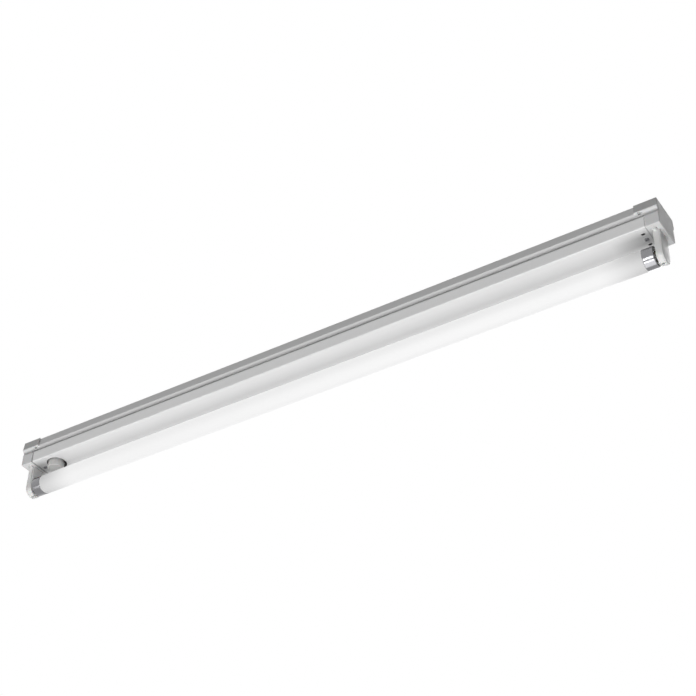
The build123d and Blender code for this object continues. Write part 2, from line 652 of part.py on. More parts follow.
# Bayonet socket: curved tracks for the pins, with a wider way in at the end of the turn
with BuildPart() as starter_socket:
    track_radius = STARTER_PIN_PITCH / 2
    head_track = STARTER_HEAD_DIA + 2 * RUN_CLEAR
    shank_track = STARTER_SHANK_DIA + 2 * RUN_CLEAR
    track_top_z = HEAD_TOP_Z + RUN_CLEAR + SOCKET_CONTACT
    with BuildSketch(Plane.XY.offset(SOCKET_Z)):
        with Locations((STARTER_X, 0)):
            RectangleRounded(SOCKET_LENGTH, SOCKET_WIDTH, SOCKET_ROUND)
    extrude(amount=WEB_Z - SOCKET_Z)
    socket_centre = Vector(STARTER_X, 0)
    for depth_z, track in ((SOCKET_Z, shank_track), (SOCKET_Z + SOCKET_FLOOR, head_track)):
        with BuildSketch(Plane.XY.offset(depth_z)):
            for start in (0, 180):
                arc = CenterArc(socket_centre, track_radius, start, STARTER_TURN, mode=Mode.PRIVATE)
                SlotArc(arc, track)
        extrude(amount=track_top_z - depth_z, mode=Mode.SUBTRACT)
    with BuildSketch(Plane.XY.offset(SOCKET_Z)):
        with Locations((STARTER_X, 0)):
            with PolarLocations(track_radius, 2, STARTER_TURN):
                Circle(head_track / 2)
    extrude(amount=SOCKET_FLOOR, mode=Mode.SUBTRACT)
save(starter_socket, "starter_socket")

with BuildPart() as starter_contacts:
    with BuildSketch(Plane.XY.offset(track_top_z - SOCKET_CONTACT)):
        with Locations(*STARTER_PIN_PLACES):
            Circle(STARTER_HEAD_DIA / 2)
    extrude(amount=SOCKET_CONTACT)
save(starter_contacts, "starter_contacts")

# Ballast: a laminated stack with two windows, a winding round its middle limb, and end feet
STACK_TOP_Z = WEB_Z - STACK_DROP
FOOT_Z = WEB_Z - BALLAST_FOOT_HEIGHT
with BuildPart() as ballast_core:
    with BuildSketch(Plane.XY.offset(STACK_TOP_Z)):
        with Locations((BALLAST_X, 0)):
            Rectangle(BALLAST_LENGTH, BALLAST_WIDTH)
            with GridLocations(0, LIMB_WIDTH + WINDOW_WIDTH, 1, 2):
                Rectangle(WINDOW_LENGTH, WINDOW_WIDTH, mode=Mode.SUBTRACT)
    extrude(amount=-STACK_HEIGHT)
    with BuildSketch(Plane.XY.offset(FOOT_Z)):
        with Locations(*BALLAST_FEET):
            Rectangle(BALLAST_FOOT_LENGTH, BALLAST_FOOT_WIDTH)
            Circle(MACHINE_SCREW_DIA / 2 + HOLE_CLEAR, mode=Mode.SUBTRACT)
    extrude(amount=BALLAST_FOOT_HEIGHT)
save(ballast_core, "ballast_core")

with BuildPart() as ballast_winding:
    with BuildSketch(Plane.YZ.offset(BALLAST_X)):
        with Locations((0, STACK_TOP_Z - STACK_HEIGHT / 2)):
            inner_width = LIMB_WIDTH + 2 * RUN_CLEAR
            inner_height = STACK_HEIGHT + 2 * RUN_CLEAR
            RectangleRounded(inner_width + 2 * WINDING_WALL, inner_height + 2 * WINDING_RISE, WINDING_RISE)
            Rectangle(inner_width, inner_height, mode=Mode.SUBTRACT)
    extrude(amount=WINDOW_LENGTH / 2 - RUN_CLEAR, both=True)
save(ballast_winding, "ballast_winding")

BALLAST_WIRE_Z = WEB_Z - BALLAST_TERMINAL_DROP - BALLAST_TERMINAL_HEIGHT / 2
BALLAST_END = BALLAST_LENGTH / 2 + BALLAST_TERMINAL_LENGTH
with BuildPart() as ballast_terminals:
    for side in (-1, 1):
        with BuildSketch(Plane.YZ.offset(BALLAST_X + side * BALLAST_LENGTH / 2)):
            with Locations((0, BALLAST_WIRE_Z)):
                Rectangle(BALLAST_TERMINAL_WIDTH, BALLAST_TERMINAL_HEIGHT)
        extrude(amount=side * BALLAST_TERMINAL_LENGTH)
        with BuildSketch(Plane.YZ.offset(BALLAST_X + side * BALLAST_END)):
            with Locations((0, BALLAST_WIRE_Z)):
                Circle(WIRE_DIA / 2 + RUN_CLEAR)
        extrude(amount=-side * BALLAST_TERMINAL_LENGTH / 2, mode=Mode.SUBTRACT)
save(ballast_terminals, "ballast_terminals")

with BuildPart() as ballast_screws:
    with BuildSketch(Plane.XY.offset(FOOT_Z)):
        with Locations(*BALLAST_FEET):
            Circle(MACHINE_HEAD_DIA / 2)
    extrude(amount=-MACHINE_HEAD)
    chamfer(ballast_screws.faces().sort_by(Axis.Z)[:2].edges(), MACHINE_HEAD / 2)
    with BuildSketch(Plane.XY.offset(FOOT_Z)):
        with Locations(*BALLAST_FEET):
            Circle(MACHINE_SCREW_DIA / 2)
    extrude(amount=-FOOT_Z - SHORT_OF_FACE)
save(ballast_screws, "ballast_screws")

# Terminal block: brass clamps in pockets that open towards the spine, screws from below
TERMINAL_Z = WEB_Z - TERMINAL_HEIGHT
CLAMP_TOP_Z = WEB_Z - CLAMP_DROP
CLAMP_Z = CLAMP_TOP_Z - CLAMP_HEIGHT
TERMINAL_WIRE_Z = CLAMP_TOP_Z - CLAMP_HEIGHT / 2
with BuildPart() as terminal_block:
    with BuildSketch(Plane.XY.offset(WEB_Z)):
        with Locations((TERMINAL_X, 0)):
            Rectangle(TERMINAL_LENGTH, TERMINAL_POLES * TERMINAL_PITCH)
    extrude(amount=-TERMINAL_HEIGHT)
    with BuildSketch(Plane.XY.offset(WEB_Z)):
        with Locations((TERMINAL_X, 0)):
            with GridLocations(0, TERMINAL_PITCH, 1, TERMINAL_POLES):
                Rectangle(CLAMP_LENGTH + 2 * SLOT_CLEAR, CLAMP_WIDTH + 2 * SLOT_CLEAR)
    extrude(amount=CLAMP_Z - WEB_Z, mode=Mode.SUBTRACT)
    with BuildSketch(Plane.XY.offset(TERMINAL_Z)):
        with Locations((TERMINAL_X, 0)):
            with GridLocations(0, TERMINAL_PITCH, 1, TERMINAL_POLES):
                Circle(TERMINAL_SCREW_DIA / 2 + HOLE_CLEAR)
    extrude(amount=CLAMP_Z - TERMINAL_Z, mode=Mode.SUBTRACT)
    with BuildSketch(Plane.YZ.offset(TERMINAL_X)):
        with Locations((0, TERMINAL_WIRE_Z)):
            with GridLocations(TERMINAL_PITCH, 0, TERMINAL_POLES, 1):
                Circle(WIRE_DIA / 2 + RUN_CLEAR)
    extrude(amount=TERMINAL_LENGTH / 2, both=True, mode=Mode.SUBTRACT)
save(terminal_block, "terminal_block")

with BuildPart() as terminal_clamps:
    with BuildSketch(Plane.XY.offset(CLAMP_Z)):
        with Locations((TERMINAL_X, 0)):
            with GridLocations(0, TERMINAL_PITCH, 1, TERMINAL_POLES):
                Rectangle(CLAMP_LENGTH, CLAMP_WIDTH)
    extrude(amount=CLAMP_HEIGHT)
    with BuildSketch(Plane.YZ.offset(TERMINAL_X)):
        with Locations((0, TERMINAL_WIRE_Z)):
            with GridLocations(TERMINAL_PITCH, 0, TERMINAL_POLES, 1):
                Circle(WIRE_DIA / 2 + RUN_CLEAR)
    extrude(amount=CLAMP_LENGTH / 2, both=True, mode=Mode.SUBTRACT)
save(terminal_clamps, "terminal_clamps")

with BuildPart() as terminal_screws:
    with BuildSketch(Plane.XY.offset(CLAMP_Z)):
        with Locations((TERMINAL_X, 0)):
            with GridLocations(0, TERMINAL_PITCH, 1, TERMINAL_POLES):
                Circle(TERMINAL_SCREW_DIA / 2)
    extrude(amount=TERMINAL_Z - CLAMP_Z + RUN_CLEAR)
save(terminal_screws, "terminal_screws")

with BuildPart() as earth_screw:
    with BuildSketch(Plane.XY.offset(WEB_Z)):
        with Locations((EARTH_X, 0)):
            Circle(EARTH_WASHER_DIA / 2)
    extrude(amount=-EARTH_WASHER)
    with BuildSketch(Plane.XY.offset(WEB_Z - EARTH_WASHER)):
        with Locations((EARTH_X, 0)):
            Circle(MACHINE_HEAD_DIA / 2)
    extrude(amount=-MACHINE_HEAD)
    chamfer(earth_screw.faces().sort_by(Axis.Z)[0].edges(), MACHINE_HEAD / 2)
    with BuildSketch(Plane.XY.offset(WEB_Z)):
        with Locations((EARTH_X, 0)):
            Circle(MACHINE_SCREW_DIA / 2)
    extrude(amount=-WEB_Z - SHORT_OF_FACE)
save(earth_screw, "earth_screw")

with BuildPart() as cable_grommet:
    grommet_plane = Plane((GROMMET_X, 0, 0), x_dir=(1, 0, 0), z_dir=(0, -1, 0))
    with BuildSketch(grommet_plane):
        bore = GROMMET_BORE / 2
        barrel = CABLE_ENTRY_DIA / 2 - HOLE_CLEAR
        sleeve = GROMMET_SLEEVE_DIA / 2
        flange_z = WEB_Z - GROMMET_FLANGE
        with BuildLine():
            Polyline(
                (bore, 0),
                (barrel, 0),
                (barrel, WEB_Z),
                (GROMMET_FLANGE_DIA / 2, WEB_Z),
                (GROMMET_FLANGE_DIA / 2, flange_z),
                (sleeve, flange_z),
                (sleeve, -GROMMET_SLEEVE),
                (bore, -GROMMET_SLEEVE),
                close=True,
            )
        make_face()
    revolve(axis=Axis((GROMMET_X, 0, 0), (0, 0, 1)))
save(cable_grommet, "cable_grommet")

# Cover brackets: a folded strip from the spine down to the tray, which the cover screws go into
with BuildPart() as cover_bracket_right:
    web_x = COVER_SCREW_X + BRACKET_FOOT / 2 - BRACKET_SHEET / 2
    foot_mid_z = COVER_INSIDE_Z + BRACKET_SHEET / 2
    with BuildSketch(Plane.XZ):
        with BuildLine():
            FilletPolyline(
                (COVER_SCREW_X - BRACKET_FOOT / 2, foot_mid_z),
                (web_x, foot_mid_z),
                (web_x, WEB_Z - BRACKET_SHEET / 2),
                (web_x + BRACKET_FOOT, WEB_Z - BRACKET_SHEET / 2),
                radius=BRACKET_SHEET,
            )
        trace(line_width=BRACKET_SHEET)
    extrude(amount=BRACKET_WIDTH / 2, both=True)
    with BuildSketch(Plane.XY.offset(COVER_INSIDE_Z)):
        with Locations((COVER_SCREW_X, 0)):
            Circle(COVER_SCREW_DIA / 2 + HOLE_CLEAR)
    extrude(amount=2 * BRACKET_SHEET, mode=Mode.SUBTRACT)
save(cover_bracket_right, "cover_bracket_right")

with BuildPart() as cover_bracket_left:
    mirror(cover_bracket_right.part, about=Plane.YZ)
save(cover_bracket_left, "cover_bracket_left")

with BuildPart() as cover_screws:
    with BuildSketch(Plane.XY.offset(COVER_Z)):
        with Locations((-COVER_SCREW_X, 0), (COVER_SCREW_X, 0)):
            Circle(COVER_SCREW_HEAD_DIA / 2)
    extrude(amount=-COVER_SCREW_HEAD)
    chamfer(cover_screws.faces().sort_by(Axis.Z)[:2].edges(), COVER_SCREW_HEAD / 2)
    with BuildSketch(Plane.XY.offset(COVER_Z)):
        with Locations((-COVER_SCREW_X, 0), (COVER_SCREW_X, 0)):
            Circle(COVER_SCREW_DIA / 2)
    extrude(amount=COVER_SHEET + 2 * BRACKET_SHEET)
save(cover_screws, "cover_screws")

# Wiring: single cores in the upper corners of the channel, down into the holders' contacts
TAIL_Z = ROOT_Z + CONTACT_TAIL + WIRE_END_GAP
LANE_Z = -WIRE_LANE_DROP
LOW_LANE_Z = -WIRE_LOW_LANE_DROP
LOW_LANE_Y = WIRE_LANE_Y - WIRE_DIA - WIRE_LANE_GAP
TERMINAL_WIRE_X = CLAMP_LENGTH / 2 + WIRE_END_GAP
TURN = 4 * WIRE_BEND
BALLAST_REACH = BALLAST_LENGTH / 2 + BALLAST_TERMINAL_LENGTH / 2 + WIRE_END_GAP
SOCKET_END = SOCKET_LENGTH / 2 + WIRE_END_GAP
WIRE_ROUTES = {
    "live_wire": [
        (TERMINAL_X + TERMINAL_WIRE_X, -TERMINAL_PITCH, TERMINAL_WIRE_Z),
        (TERMINAL_X + TERMINAL_WIRE_X + TURN, -TERMINAL_PITCH, TERMINAL_WIRE_Z),
        (BALLAST_X - BALLAST_REACH - TURN, 0, BALLAST_WIRE_Z),
        (BALLAST_X - BALLAST_REACH, 0, BALLAST_WIRE_Z),
    ],
    "ballast_wire": [
        (BALLAST_X + BALLAST_REACH, 0, BALLAST_WIRE_Z),
        (BALLAST_X + BALLAST_REACH + TURN, 0, BALLAST_WIRE_Z),
        (BALLAST_X + BALLAST_REACH + 2 * TURN, -LOW_LANE_Y, LOW_LANE_Z),
        (CONTACT_X - TURN, -LOW_LANE_Y, LOW_LANE_Z),
        (CONTACT_X, -CONTACT_Y, LOW_LANE_Z),
        (CONTACT_X, -CONTACT_Y, TAIL_Z),
    ],
    "starter_wire_right": [
        (CONTACT_X, CONTACT_Y, TAIL_Z),
        (CONTACT_X, CONTACT_Y, LANE_Z),
        (CONTACT_X - TURN, WIRE_LANE_Y, LANE_Z),
        (STARTER_X + SOCKET_END + 2 * TURN, WIRE_LANE_Y, LANE_Z),
        (STARTER_X + SOCKET_END + TURN, CONTACT_Y, LANE_Z),
        (STARTER_X + SOCKET_END, CONTACT_Y, LANE_Z),
    ],
    "starter_wire_left": [
        (STARTER_X - SOCKET_END, -CONTACT_Y, LANE_Z),
        (-CONTACT_X, -CONTACT_Y, LANE_Z),
        (-CONTACT_X, -CONTACT_Y, TAIL_Z),
    ],
    "neutral_wire": [
        (TERMINAL_X - TERMINAL_WIRE_X, TERMINAL_PITCH, TERMINAL_WIRE_Z),
        (TERMINAL_X - TERMINAL_WIRE_X - TURN, TERMINAL_PITCH, TERMINAL_WIRE_Z),
        (TERMINAL_X - TERMINAL_WIRE_X - 2 * TURN, LOW_LANE_Y, LOW_LANE_Z),
        (-CONTACT_X + TURN, LOW_LANE_Y, LOW_LANE_Z),
        (-CONTACT_X, CONTACT_Y, LOW_LANE_Z),
        (-CONTACT_X, CONTACT_Y, TAIL_Z),
    ],
    "earth_wire": [
        (TERMINAL_X - TERMINAL_WIRE_X, 0, TERMINAL_WIRE_Z),
        (TERMINAL_X - TERMINAL_LENGTH / 2 - WIRE_BEND, 0, TERMINAL_WIRE_Z),
        (EARTH_X + MACHINE_HEAD_DIA / 2 + WIRE_BEND, 0, WEB_Z - EARTH_WASHER - WIRE_DIA),
        (EARTH_X + MACHINE_HEAD_DIA / 2 + WIRE_END_GAP, 0, WEB_Z - EARTH_WASHER - WIRE_DIA),
    ],
}
for name, route in WIRE_ROUTES.items():
    with BuildPart() as wire:
        with BuildLine() as path:
            FilletPolyline(*route, radius=WIRE_BEND)
        with BuildSketch(Plane(path.line @ 0, z_dir=path.line % 0)):
            Circle(WIRE_DIA / 2)
        sweep()
    save(wire, name)
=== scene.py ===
"""Looks of a slim batten light: finishes, refined pieces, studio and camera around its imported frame."""

from __future__ import annotations

import logging
import math
from abc import ABC, abstractmethod
from dataclasses import dataclass
from enum import Enum

import bmesh
import bpy
from mathutils import Matrix, Vector

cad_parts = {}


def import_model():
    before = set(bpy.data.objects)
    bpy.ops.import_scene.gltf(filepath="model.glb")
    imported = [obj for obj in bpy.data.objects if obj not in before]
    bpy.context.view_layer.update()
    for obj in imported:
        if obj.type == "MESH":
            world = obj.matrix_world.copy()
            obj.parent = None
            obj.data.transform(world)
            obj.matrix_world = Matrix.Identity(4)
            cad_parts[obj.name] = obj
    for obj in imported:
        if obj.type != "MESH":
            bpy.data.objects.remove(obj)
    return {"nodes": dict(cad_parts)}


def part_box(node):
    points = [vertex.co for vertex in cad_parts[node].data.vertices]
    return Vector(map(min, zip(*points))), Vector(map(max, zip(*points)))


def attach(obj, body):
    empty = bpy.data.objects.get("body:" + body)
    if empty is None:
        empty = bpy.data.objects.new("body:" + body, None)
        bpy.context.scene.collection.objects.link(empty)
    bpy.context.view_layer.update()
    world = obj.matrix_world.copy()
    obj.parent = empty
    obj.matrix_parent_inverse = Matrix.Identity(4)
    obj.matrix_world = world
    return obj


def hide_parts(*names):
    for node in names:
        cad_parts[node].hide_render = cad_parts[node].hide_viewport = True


LOG = logging.getLogger("batten_light")
START_OBJECTS = ("Cube", "Light", "Camera")
SIDES = {"left": -1.0, "right": 1.0}
ALONG = Vector((1, 0, 0))
UP = Vector((0, 0, 1))
MERGE_DISTANCE = 1e-6
FLAT_ANGLE = math.radians(0.4)
EDGE_ANGLE = math.radians(32.0)
ROUND_STEPS = 2
NOISE_DETAIL = 2.0
GRAIN_DETAIL = 1.0
WAVES_PER_UNIT = 20.0
MIX_SHARE = 0
MIX_FIRST = 6
MIX_SECOND = 7
MIX_RESULT = 2
WHITE = (1.0, 1.0, 1.0, 1.0)
Colour = tuple[float, float, float]
Triple = tuple[float, float, float]
Point = tuple[float, float]
Span = tuple[float, float]
Socket = bpy.types.NodeSocket


class Body(str, Enum):
    """The CAD bodies that pieces ride on."""

    HOUSING = "housing"
    LAMP = "lamp"
    STARTER = "starter"
    ROTOR_LEFT = "rotor_left"
    ROTOR_RIGHT = "rotor_right"


class Slot(str, Enum):
    """The material slots, one listed with each piece."""

    PAINTED_STEEL = "painted_steel"
    CAP_PLASTIC = "cap_plastic"
    HOLDER_PLASTIC = "holder_plastic"
    LAMP_GLASS = "lamp_glass"
    LAMP_METAL = "lamp_metal"
    STARTER_PLASTIC = "starter_plastic"
    PLATED_STEEL = "plated_steel"


def neutral(tone: float) -> Colour:
    """Return an untinted colour of one tone."""
    return (tone, tone, tone)


@dataclass(frozen=True)
class Relief:
    """A surface's fine relief: the share of it that shows, and its height in metres."""

    strength: float
    depth: float


class MaterialGraph:
    """A material under construction: its shader, and short calls for the nodes that feed it."""

    def __init__(self, name: str) -> None:
        """Start a material with one principled shader.

        Args:
            name: The material's name.
        """
        self.material = bpy.data.materials.new(name)
        self.material.use_nodes = True
        self.tree = self.material.node_tree
        self.shader = self.tree.nodes["Principled BSDF"]
        self.place = self.tree.nodes.new("ShaderNodeTexCoord").outputs["Object"]

    def fix(self, **values: object) -> None:
        """Set the shader's constant sockets, named with underscores for spaces."""
        for name, value in values.items():
            self.shader.inputs[name.replace("_", " ")].default_value = value

    def feed(self, socket: str, source: Socket) -> None:
        """Link an output to one of the shader's sockets."""
        self.tree.links.new(source, self.shader.inputs[socket])

    def node(self, kind: str, values: dict[str | int, object], **settings: object) -> bpy.types.Node:
        """Add a node.

        Args:
            kind: The node's type.
            values: Input sockets by name or index, each a constant or an output to link.
            settings: The node's own properties.

        Returns:
            The new node.
        """
        made = self.tree.nodes.new(kind)
        for name, value in settings.items():
            setattr(made, name, value)
        for name, value in values.items():
            if isinstance(value, Socket):
                self.tree.links.new(value, made.inputs[name])
            else:
                made.inputs[name].default_value = value
        return made

    def noise(self, scale: float, detail: float = NOISE_DETAIL, place: Socket | None = None) -> Socket:
        """Return noise of a scale in features per metre, by Object coordinates unless a place is given."""
        values = {"Vector": place or self.place, "Scale": scale, "Detail": detail}
        return self.node("ShaderNodeTexNoise", values).outputs["Fac"]

    def streaks(self, scale: Triple, detail: float = NOISE_DETAIL) -> Socket:
        """Return noise with a scale of its own, in features per metre, along X, Y and Z."""
        stretched = self.node("ShaderNodeMapping", {"Vector": self.place, "Scale": scale})
        return self.noise(1.0, detail, stretched.outputs["Vector"])

    def bands(self, pitch: float, direction: str) -> Socket:
        """Return straight bands that follow one another along an axis, a pitch in metres apart."""
        values = {"Vector": self.place, "Scale": 2.0 * math.pi / (WAVES_PER_UNIT * pitch)}
        return self.node("ShaderNodeTexWave", values, bands_direction=direction).outputs["Fac"]

    def spread(self, source: Socket, low: float, high: float, reach: Span = (0.3, 0.7)) -> Socket:
        """Return a factor mapped from its own reach to the values from low to high."""
        values = {"Value": source, "From Min": reach[0], "From Max": reach[1], "To Min": low, "To Max": high}
        return self.node("ShaderNodeMapRange", values).outputs["Result"]

    def product(self, first: Socket, second: Socket | float) -> Socket:
        """Return the product of a factor and another factor or number."""
        return self.node("ShaderNodeMath", {0: first, 1: second}, operation="MULTIPLY").outputs["Value"]

    def blend(self, factor: Socket, low: Colour, high: Colour) -> Socket:
        """Return a mix of two colours, in which the factor is the share of the second."""
        values = {MIX_SHARE: factor, MIX_FIRST: (*low, 1.0), MIX_SECOND: (*high, 1.0)}
        return self.node("ShaderNodeMix", values, data_type="RGBA").outputs[MIX_RESULT]

    def dulled(self, share: Socket, colour: Socket, tone: Socket | tuple[float, ...]) -> Socket:
        """Multiply a colour by a tone.

        Args:
            share: How much of the tone shows.
            colour: The colour.
            tone: The tone, as an output or an opaque colour.

        Returns:
            The duller colour.
        """
        values = {MIX_SHARE: share, MIX_FIRST: colour, MIX_SECOND: tone}
        made = self.node("ShaderNodeMix", values, data_type="RGBA", blend_type="MULTIPLY")
        return made.outputs[MIX_RESULT]

    def distance_out(self, axis: str) -> Socket:
        """Return the distance from the origin along one axis, X, Y or Z."""
        along = self.node("ShaderNodeSeparateXYZ", {"Vector": self.place}).outputs[axis]
        return self.node("ShaderNodeMath", {0: along}, operation="ABSOLUTE").outputs["Value"]

    def ramp(self, source: Socket, stops: tuple[Point, ...]) -> Socket:
        """Map a distance to a tone by straight runs between stops.

        Args:
            source: The distance.
            stops: Distances and their tones, nearest first.

        Returns:
            The tone as a grey colour.
        """
        first, last = stops[0][0], stops[-1][0]
        made = self.node("ShaderNodeValToRGB", {"Fac": self.spread(source, 0.0, 1.0, (first, last))})
        elements = made.color_ramp.elements
        for at, tone in stops[1:-1]:
            elements.new((at - first) / (last - first)).color = (*neutral(tone), 1.0)
        for element, (_, tone) in ((elements[0], stops[0]), (elements[-1], stops[-1])):
            element.color = (*neutral(tone), 1.0)
        return made.outputs["Color"]

    def emboss(self, height: Socket, relief: Relief) -> None:
        """Bump the surface by a height factor."""
        values = {"Height": height, "Strength": relief.strength, "Distance": relief.depth}
        self.feed("Normal", self.node("ShaderNodeBump", values).outputs["Normal"])


class PaintedShade(ABC):
    """Painted shade that darkens part of a finish, standing in for shade that falls there."""

    @abstractmethod
    def over(self, graph: MaterialGraph, colour: Socket) -> Socket:
        """Lay the painted shade over a colour.

        Args:
            graph: The material.
            colour: The clean colour.

        Returns:
            The dulled colour.
        """


@dataclass(frozen=True)
class FoldShade(PaintedShade):
    """Painted shade on the long sides, a tone by depth below the ceiling: darker in folds and grooves and on
    faces turned from the light.
    """

    out_from: float
    tones: tuple[Point, ...]
    soft: float = 0.0004

    def over(self, graph: MaterialGraph, colour: Socket) -> Socket:
        """Lay the painted shade in the folds.

        Args:
            graph: The material.
            colour: The clean colour.

        Returns:
            The dulled colour.
        """
        sides = (self.out_from, self.out_from + self.soft)
        share = graph.spread(graph.distance_out("Y"), 0.0, 1.0, sides)
        return graph.dulled(share, colour, graph.ramp(graph.distance_out("Z"), self.tones))


@dataclass(frozen=True)
class EndShade(PaintedShade):
    """Painted shade towards both ends: where it starts along the length, how wide it lies and below what
    depth.
    """

    starts: float
    full: float
    half_width: float
    fades_at: float
    depth: float
    tone: float
    stops: float = 1.0
    soft: float = 0.0005

    def over(self, graph: MaterialGraph, colour: Socket) -> Socket:
        """Lay the painted shade on both ends.

        Args:
            graph: The material.
            colour: The clean colour.

        Returns:
            The dulled colour.
        """
        share = graph.spread(graph.distance_out("X"), 0.0, 1.0, (self.starts, self.full))
        for other in (
            graph.spread(graph.distance_out("X"), 1.0, 0.0, (self.stops, self.stops + self.soft)),
            graph.spread(graph.distance_out("Y"), 1.0, 0.0, (self.half_width, self.fades_at)),
            graph.spread(graph.distance_out("Z"), 0.0, 1.0, (self.depth, self.depth + self.soft)),
        ):
            share = graph.product(share, other)
        return graph.dulled(share, colour, (*neutral(self.tone), 1.0))


def with_painted_shade(graph: MaterialGraph, colour: Socket, painted_shades: tuple[PaintedShade, ...]) -> Socket:
    """Lay painted shades over a colour, one after another.

    Args:
        graph: The material.
        colour: The clean colour.
        painted_shades: The painted shades, lowest first.

    Returns:
        The dulled colour.
    """
    for shade_layer in painted_shades:
        colour = shade_layer.over(graph, colour)
    return colour


@dataclass(frozen=True)
class Finish(ABC):
    """A finish that one or more pieces share."""

    name: str

    @abstractmethod
    def dress(self, graph: MaterialGraph) -> None:
        """Lay the finish's nodes out in a material.

        Args:
            graph: The material to dress.
        """

    def build(self) -> bpy.types.Material:
        """Make the finish's material.

        Returns:
            The material.
        """
        graph = MaterialGraph(self.name)
        self.dress(graph)
        return graph.material


@dataclass(frozen=True)
class Enamel(Finish):
    """Stoved enamel on sheet steel: a satin gloss with a faint orange peel."""

    thin: Colour
    full: Colour
    # painted shade laid into the base colour
    painted_shades: tuple[PaintedShade, ...] = ()
    roughness: Span = (0.30, 0.38)
    mottle: float = 14.0
    gloss_mottle: float = 60.0
    peel: float = 520.0
    relief: Relief = Relief(strength=0.05, depth=0.0004)

    def dress(self, graph: MaterialGraph) -> None:
        """Lay the enamel out.

        Args:
            graph: The material to dress.
        """
        colour = graph.blend(graph.noise(self.mottle), self.thin, self.full)
        graph.feed("Base Color", with_painted_shade(graph, colour, self.painted_shades))
        graph.feed("Roughness", graph.spread(graph.noise(self.gloss_mottle), *self.roughness))
        graph.emboss(graph.noise(self.peel, GRAIN_DETAIL), self.relief)


@dataclass(frozen=True)
class Moulding(Finish):
    """Injection-moulded plastic with a fine spark-eroded surface."""

    pale: Colour
    deep: Colour
    # painted shade laid into the base colour
    painted_shades: tuple[PaintedShade, ...] = ()
    roughness: Span = (0.40, 0.52)
    translucence: float = 0.04
    light_depth: float = 0.002
    mottle: float = 45.0
    gloss_mottle: float = 180.0
    grain: float = 2600.0
    relief: Relief = Relief(strength=0.07, depth=0.0002)

    def dress(self, graph: MaterialGraph) -> None:
        """Lay the plastic out.

        Args:
            graph: The material to dress.
        """
        graph.fix(Subsurface_Weight=self.translucence, Subsurface_Scale=self.light_depth)
        colour = graph.blend(graph.noise(self.mottle), self.pale, self.deep)
        graph.feed("Base Color", with_painted_shade(graph, colour, self.painted_shades))
        graph.feed("Roughness", graph.spread(graph.noise(self.gloss_mottle), *self.roughness))
        graph.emboss(graph.noise(self.grain, GRAIN_DETAIL), self.relief)


@dataclass(frozen=True)
class PhosphorGlass(Finish):
    """A lit lamp's glass: a white coating that glows, duller towards both ends."""

    coating: Colour
    end_coating: Colour
    glow: Colour
    end_glow: Colour
    full_glow_to: float
    end: float
    strength: float
    roughness: float = 0.55
    ripple: float = 900.0
    relief: Relief = Relief(strength=0.02, depth=0.0001)

    def dress(self, graph: MaterialGraph) -> None:
        """Lay the glowing glass out.

        Args:
            graph: The material to dress.
        """
        values = {"Value": graph.distance_out("X"), "From Min": self.full_glow_to, "From Max": self.end}
        fade = graph.node("ShaderNodeMapRange", values, interpolation_type="SMOOTHSTEP").outputs["Result"]
        graph.fix(Roughness=self.roughness, Emission_Strength=self.strength)
        graph.feed("Base Color", graph.blend(fade, self.coating, self.end_coating))
        graph.feed("Emission Color", graph.blend(fade, self.glow, self.end_glow))
        graph.emboss(graph.noise(self.ripple, GRAIN_DETAIL), self.relief)


@dataclass(frozen=True)
class TurnedMetal(Finish):
    """Drawn metal with fine lines round the lamp's axis."""

    bright: Colour
    dull: Colour
    # painted shade laid into the base colour
    painted_shades: tuple[PaintedShade, ...] = ()
    roughness: Span = (0.24, 0.40)
    mottle: float = 160.0
    lines: Triple = (2600.0, 30.0, 30.0)
    line_detail: float = 3.0
    relief: Relief = Relief(strength=0.04, depth=0.00008)

    def dress(self, graph: MaterialGraph) -> None:
        """Lay the drawn metal out.

        Args:
            graph: The material to dress.
        """
        rings = graph.streaks(self.lines, self.line_detail)
        graph.fix(Metallic=1.0)
        colour = graph.blend(graph.noise(self.mottle), self.bright, self.dull)
        graph.feed("Base Color", with_painted_shade(graph, colour, self.painted_shades))
        graph.feed("Roughness", graph.spread(rings, *self.roughness))
        graph.emboss(rings, self.relief)


@dataclass(frozen=True)
class PlatedMetal(Finish):
    """Plated or bare metal with a mottled sheen and small scratches."""

    bright: Colour
    dull: Colour
    roughness: Span = (0.26, 0.44)
    mottle: float = 420.0
    scratches: Triple = (220.0, 2400.0, 1400.0)
    detail: float = 4.0
    relief: Relief = Relief(strength=0.05, depth=0.00006)

    def dress(self, graph: MaterialGraph) -> None:
        """Lay the plating out.

        Args:
            graph: The material to dress.
        """
        scratches = graph.streaks(self.scratches, self.detail)
        graph.fix(Metallic=1.0)
        graph.feed("Base Color", graph.blend(graph.noise(self.mottle, self.detail), self.bright, self.dull))
        graph.feed("Roughness", graph.spread(scratches, *self.roughness))
        graph.emboss(scratches, self.relief)


@dataclass(frozen=True)
class PressedBoard(Finish):
    """Hard brown board with dark flecks."""

    body: Colour
    fleck: Colour
    roughness: Span = (0.45, 0.65)
    flecks: float = 1500.0
    detail: float = 5.0
    fleck_reach: Span = (0.42, 0.62)
    relief: Relief = Relief(strength=0.08, depth=0.0001)

    def dress(self, graph: MaterialGraph) -> None:
        """Lay the board out.

        Args:
            graph: The material to dress.
        """
        flecks = graph.noise(self.flecks, self.detail)
        share = graph.spread(flecks, 0.0, 1.0, self.fleck_reach)
        graph.feed("Base Color", graph.blend(share, self.body, self.fleck))
        graph.feed("Roughness", graph.spread(flecks, *self.roughness))
        graph.emboss(flecks, self.relief)


@dataclass(frozen=True)
class ClearGlass(Finish):
    """Clear worked glass with faint ripples."""

    tint: Colour
    roughness: Span = (0.01, 0.05)
    refraction: float = 1.5
    ripples: Triple = (90.0, 420.0, 420.0)
    relief: Relief = Relief(strength=0.06, depth=0.0002)

    def dress(self, graph: MaterialGraph) -> None:
        """Lay the glass out.

        Args:
            graph: The material to dress.
        """
        graph.fix(Base_Color=(*self.tint, 1.0), Transmission_Weight=1.0, IOR=self.refraction)
        ripples = graph.streaks(self.ripples)
        graph.feed("Roughness", graph.spread(ripples, *self.roughness))
        graph.emboss(ripples, self.relief)


